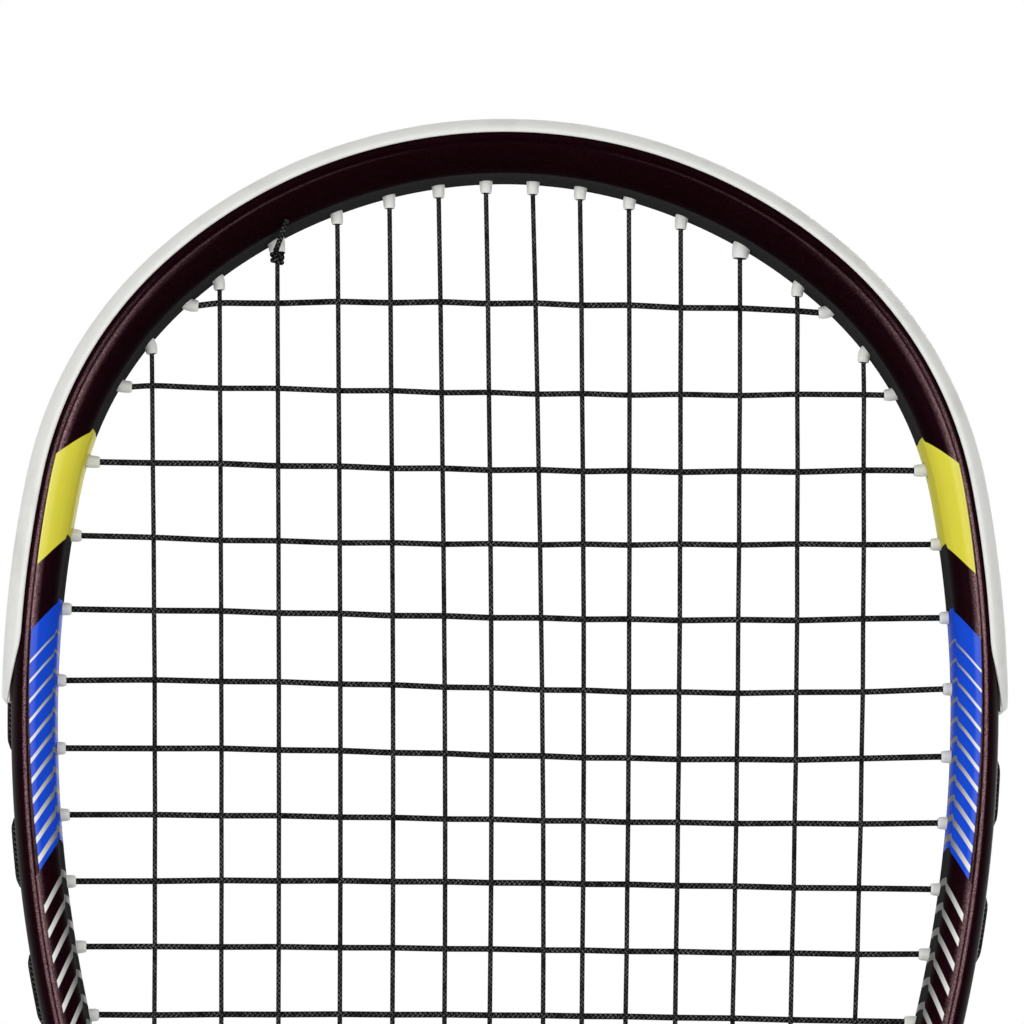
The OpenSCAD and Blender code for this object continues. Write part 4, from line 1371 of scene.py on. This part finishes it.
# Closed profile of the collar: radius and height, with three ribs on the skirt and a bead on the neck
COLLAR_PROFILE = (
    (17.5, 0.3), (17.75, 0.05), (18.2, 0), (18.8, 0), (19.15, 0.2), (19.4, 0.8), (19.5, 1.6), (19.46, 2.4),
    (19.3, 3.0), (19.0, 3.25), (18.95, 3.6), (19.12, 3.85), (19.1, 4.9), (18.82, 5.15), (18.78, 5.5),
    (18.95, 5.75), (18.92, 6.8), (18.64, 7.05), (18.6, 7.4), (18.74, 7.65), (18.6, 9.8), (18.3, 12.5),
    (18.02, 14), (17.4, 15.6), (16.3, 17.4), (15.1, 19.2), (14.1, 20.8), (13.4, 22.2), (13.0, 23.8),
    (12.8, 25.6),
    (12.66, 27.4), (12.5, 28.6), (12.62, 28.9), (12.72, 29.5), (12.62, 30.2), (12.4, 30.8), (12.2, 31.5),
    (11.9, 31.9), (11.5, 32), (11.0, 31.9), (10.82, 31.6), (10.8, 30), (10.8, 21.4), (11.2, 20.6), (17.2, 14),
    (17.5, 13.2))


class RACKET_OT_collar(bpy.types.Operator):
    """Models the rubber collar that slides on the shaft over the end of the grip"""
    bl_idname = "racket.collar"
    bl_label = "Collar"

    def execute(self, context):
        form = Form()
        profile = COLLAR_PROFILE + COLLAR_PROFILE[:1]
        turns = [math.tau * k / COLLAR_SIDES for k in range(COLLAR_SIDES)]
        rings = [[Vector((r * math.cos(a), r * math.sin(a), COLLAR_LOW + h)) for a in turns]
                 for r, h in profile]
        form.skin(rings, [[(k / COLLAR_SIDES, h) for k in range(COLLAR_SIDES + 1)] for _, h in profile])
        form.piece("rubber_collar", rubber(context.scene.racket_handle), "collar_rubber", "collar",
                   body=COLLAR, sharp=60)
        return {"FINISHED"}


def rubber(handle):
    """Matt rubber with a little bloom and dust."""
    paint = new_paint("collar_rubber")
    fine, bloom = paint.grain(1600.0, 3.0), paint.grain(110.0, 5.0, 0.6)
    dusty = bloom.above(0.58, 0.2) * 0.6 + fine * 0.2
    shown = paint.mix(dusty, handle.collar, tint(handle.collar, 2.2))
    return paint.shade(base_color=shown, roughness=0.62 + bloom * 0.14, specular_ior_level=0.3,
                       normal=paint.relief(fine, 0.00005))


class RACKET_OT_core(bpy.types.Operator):
    """Gives the handle core its foam and the staples their steel"""
    bl_idname = "racket.core"
    bl_label = "Core and staples"

    def execute(self, context):
        handle = context.scene.racket_handle
        foam = new_paint("core_foam")
        bubbles, cloud = foam.cells(1400.0), foam.grain(160.0, 4.0)
        shown = foam.mix(cloud, tint(handle.core, 0.8), handle.core)
        # Painted shade in the foam's pores
        shown = foam.mix((0.35 - bubbles).most(0) * 1.6, shown, tint(handle.core, 0.5))
        foam.shade(base_color=shown, roughness=0.75 + cloud * 0.15, normal=foam.relief(bubbles, 0.0002))
        steel = new_paint("staple_steel")
        brushed, spots = steel.grain(2600.0, 4.0), steel.grain(350.0, 4.0).above(0.6, 0.1)
        shown = steel.mix(spots * 0.5, handle.steel, tint(handle.steel, 0.45))
        steel.shade(base_color=shown, metallic=1 - spots * 0.4, roughness=0.28 + brushed * 0.15 + spots * 0.2,
                    normal=steel.relief(brushed, 0.00002))
        for node, paint in (("handle_core", foam), ("butt_cap_staples", steel)):
            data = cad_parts[node].data
            data.materials.clear()
            data.materials.append(paint.owner)
        return {"FINISHED"}


# Stage

SENSOR, FLOOR_REACH, LAMP_AIM = 36.0, 3.0, (0, 0, 0.55)
# Name, place, width and height in metres, and share of the lamp setting
LAMPS = (("main", (-0.1, -2.6, 1.1), 2.4, 2.4, 0.5), ("left", (-1.5, -1.6, 0.7), 0.3, 1.3, 0.6),
         ("right", (1.5, -1.6, 0.7), 0.3, 1.3, 0.36), ("top", (0.0, -0.3, 2.3), 1.2, 1.2, 0.06),
         ("back", (0.4, 1.9, 1.1), 1.2, 1.2, 0.6))


def put_up(data, spot, target, roll=0.0):
    """Stands a camera or a lamp at a place and turns it to another."""
    made = bpy.data.objects.new(data.name, data)
    bpy.context.scene.collection.objects.link(made)
    look = (Vector(target) - Vector(spot)).to_track_quat("-Z", "Y")
    made.location = spot
    made.rotation_mode = "QUATERNION"
    made.rotation_quaternion = look @ Quaternion((0, 0, 1), roll)
    return made


class RACKET_OT_stage(bpy.types.Operator):
    """Sets the camera, the lamps, the white surroundings and the floor"""
    bl_idname = "racket.stage"
    bl_label = "Stage"

    def execute(self, context):
        scene, stage = context.scene, context.scene.racket_stage
        scene.view_settings.view_transform = "Standard"
        data = bpy.data.cameras.new("camera")
        data.lens, data.sensor_width = stage.lens, SENSOR
        scene.camera = put_up(data, stage.camera_at, stage.aim, stage.roll)
        for name, spot, wide, high, share in LAMPS:
            lamp = bpy.data.lights.new("lamp_" + name, "AREA")
            lamp.shape, lamp.size, lamp.size_y = "RECTANGLE", wide, high
            lamp.energy = stage.lamp * share
            put_up(lamp, spot, LAMP_AIM)

        scene.world = bpy.data.worlds.new("studio")
        air = Paint(scene.world)
        rays = ("Is Camera Ray", "Is Glossy Ray", "Is Transmission Ray")
        camera_ray, glossy, through = [air.node("ShaderNodeLightPath", {}, {}, ray) for ray in rays]
        strength = camera_ray.most(glossy).most(through) * (1 - stage.sky) + stage.sky
        light = air.node("ShaderNodeBackground", {}, {"Color": (1, 1, 1), "Strength": strength})
        air.node("ShaderNodeOutputWorld", {}, {"Surface": light})

        mesh = bpy.data.meshes.new("floor")
        corners = [(x * FLOOR_REACH, y * FLOOR_REACH, 0) for x, y in ((-1, -1), (1, -1), (1, 1), (-1, 1))]
        mesh.from_pydata(corners, [], [(0, 1, 2, 3)])
        paint = new_paint("pale_floor")
        cloud = paint.grain(6.0, 4.0)
        shown = paint.mix(cloud, tint(stage.floor, 0.985), stage.floor)
        mesh.materials.append(paint.shade(base_color=shown, roughness=0.7 + cloud * 0.1))
        floor = bpy.data.objects.new("floor", mesh)
        scene.collection.objects.link(floor)
        return {"FINISHED"}


class RACKET_PT_pieces(bpy.types.Panel):
    """Settings and pieces of the racket"""
    bl_idname = "RACKET_PT_pieces"
    bl_label = "Squash Racket"
    bl_space_type = "VIEW_3D"
    bl_region_type = "UI"
    bl_category = "Racket"

    def draw(self, context):
        for group in GROUPS:
            box = self.layout.box()
            settings = getattr(context.scene, group)
            for name in settings.__annotations__:
                box.prop(settings, name)
        for operator in OPERATORS:
            self.layout.operator(operator.bl_idname)


GROUPS = {"racket_hoop": HoopSettings, "racket_grommets": GrommetSettings, "racket_strings": StringSettings,
          "racket_handle": HandleSettings, "racket_stage": StageSettings}
OPERATORS = (RACKET_OT_stage, RACKET_OT_hoop, RACKET_OT_grommets, RACKET_OT_strings, RACKET_OT_knots,
             RACKET_OT_core, RACKET_OT_butt_cap, RACKET_OT_grip, RACKET_OT_collar)
CLASSES = (*GROUPS.values(), *OPERATORS, RACKET_PT_pieces)


def register():
    for made in CLASSES:
        bpy.utils.register_class(made)
    for name, group in GROUPS.items():
        setattr(bpy.types.Scene, name, bpy.props.PointerProperty(type=group))


def unregister():
    for name in GROUPS:
        delattr(bpy.types.Scene, name)
    for made in reversed(CLASSES):
        bpy.utils.unregister_class(made)


def main():
    register()
    bpy.ops.racket.stage()
    bpy.ops.racket.hoop()
    bpy.ops.racket.grommets()
    bpy.ops.racket.strings()
    bpy.ops.racket.knots()
    bpy.ops.racket.core()
    bpy.ops.racket.butt_cap()
    bpy.ops.racket.grip()
    bpy.ops.racket.collar()
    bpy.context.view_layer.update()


if __name__ == "__main__":
    main()
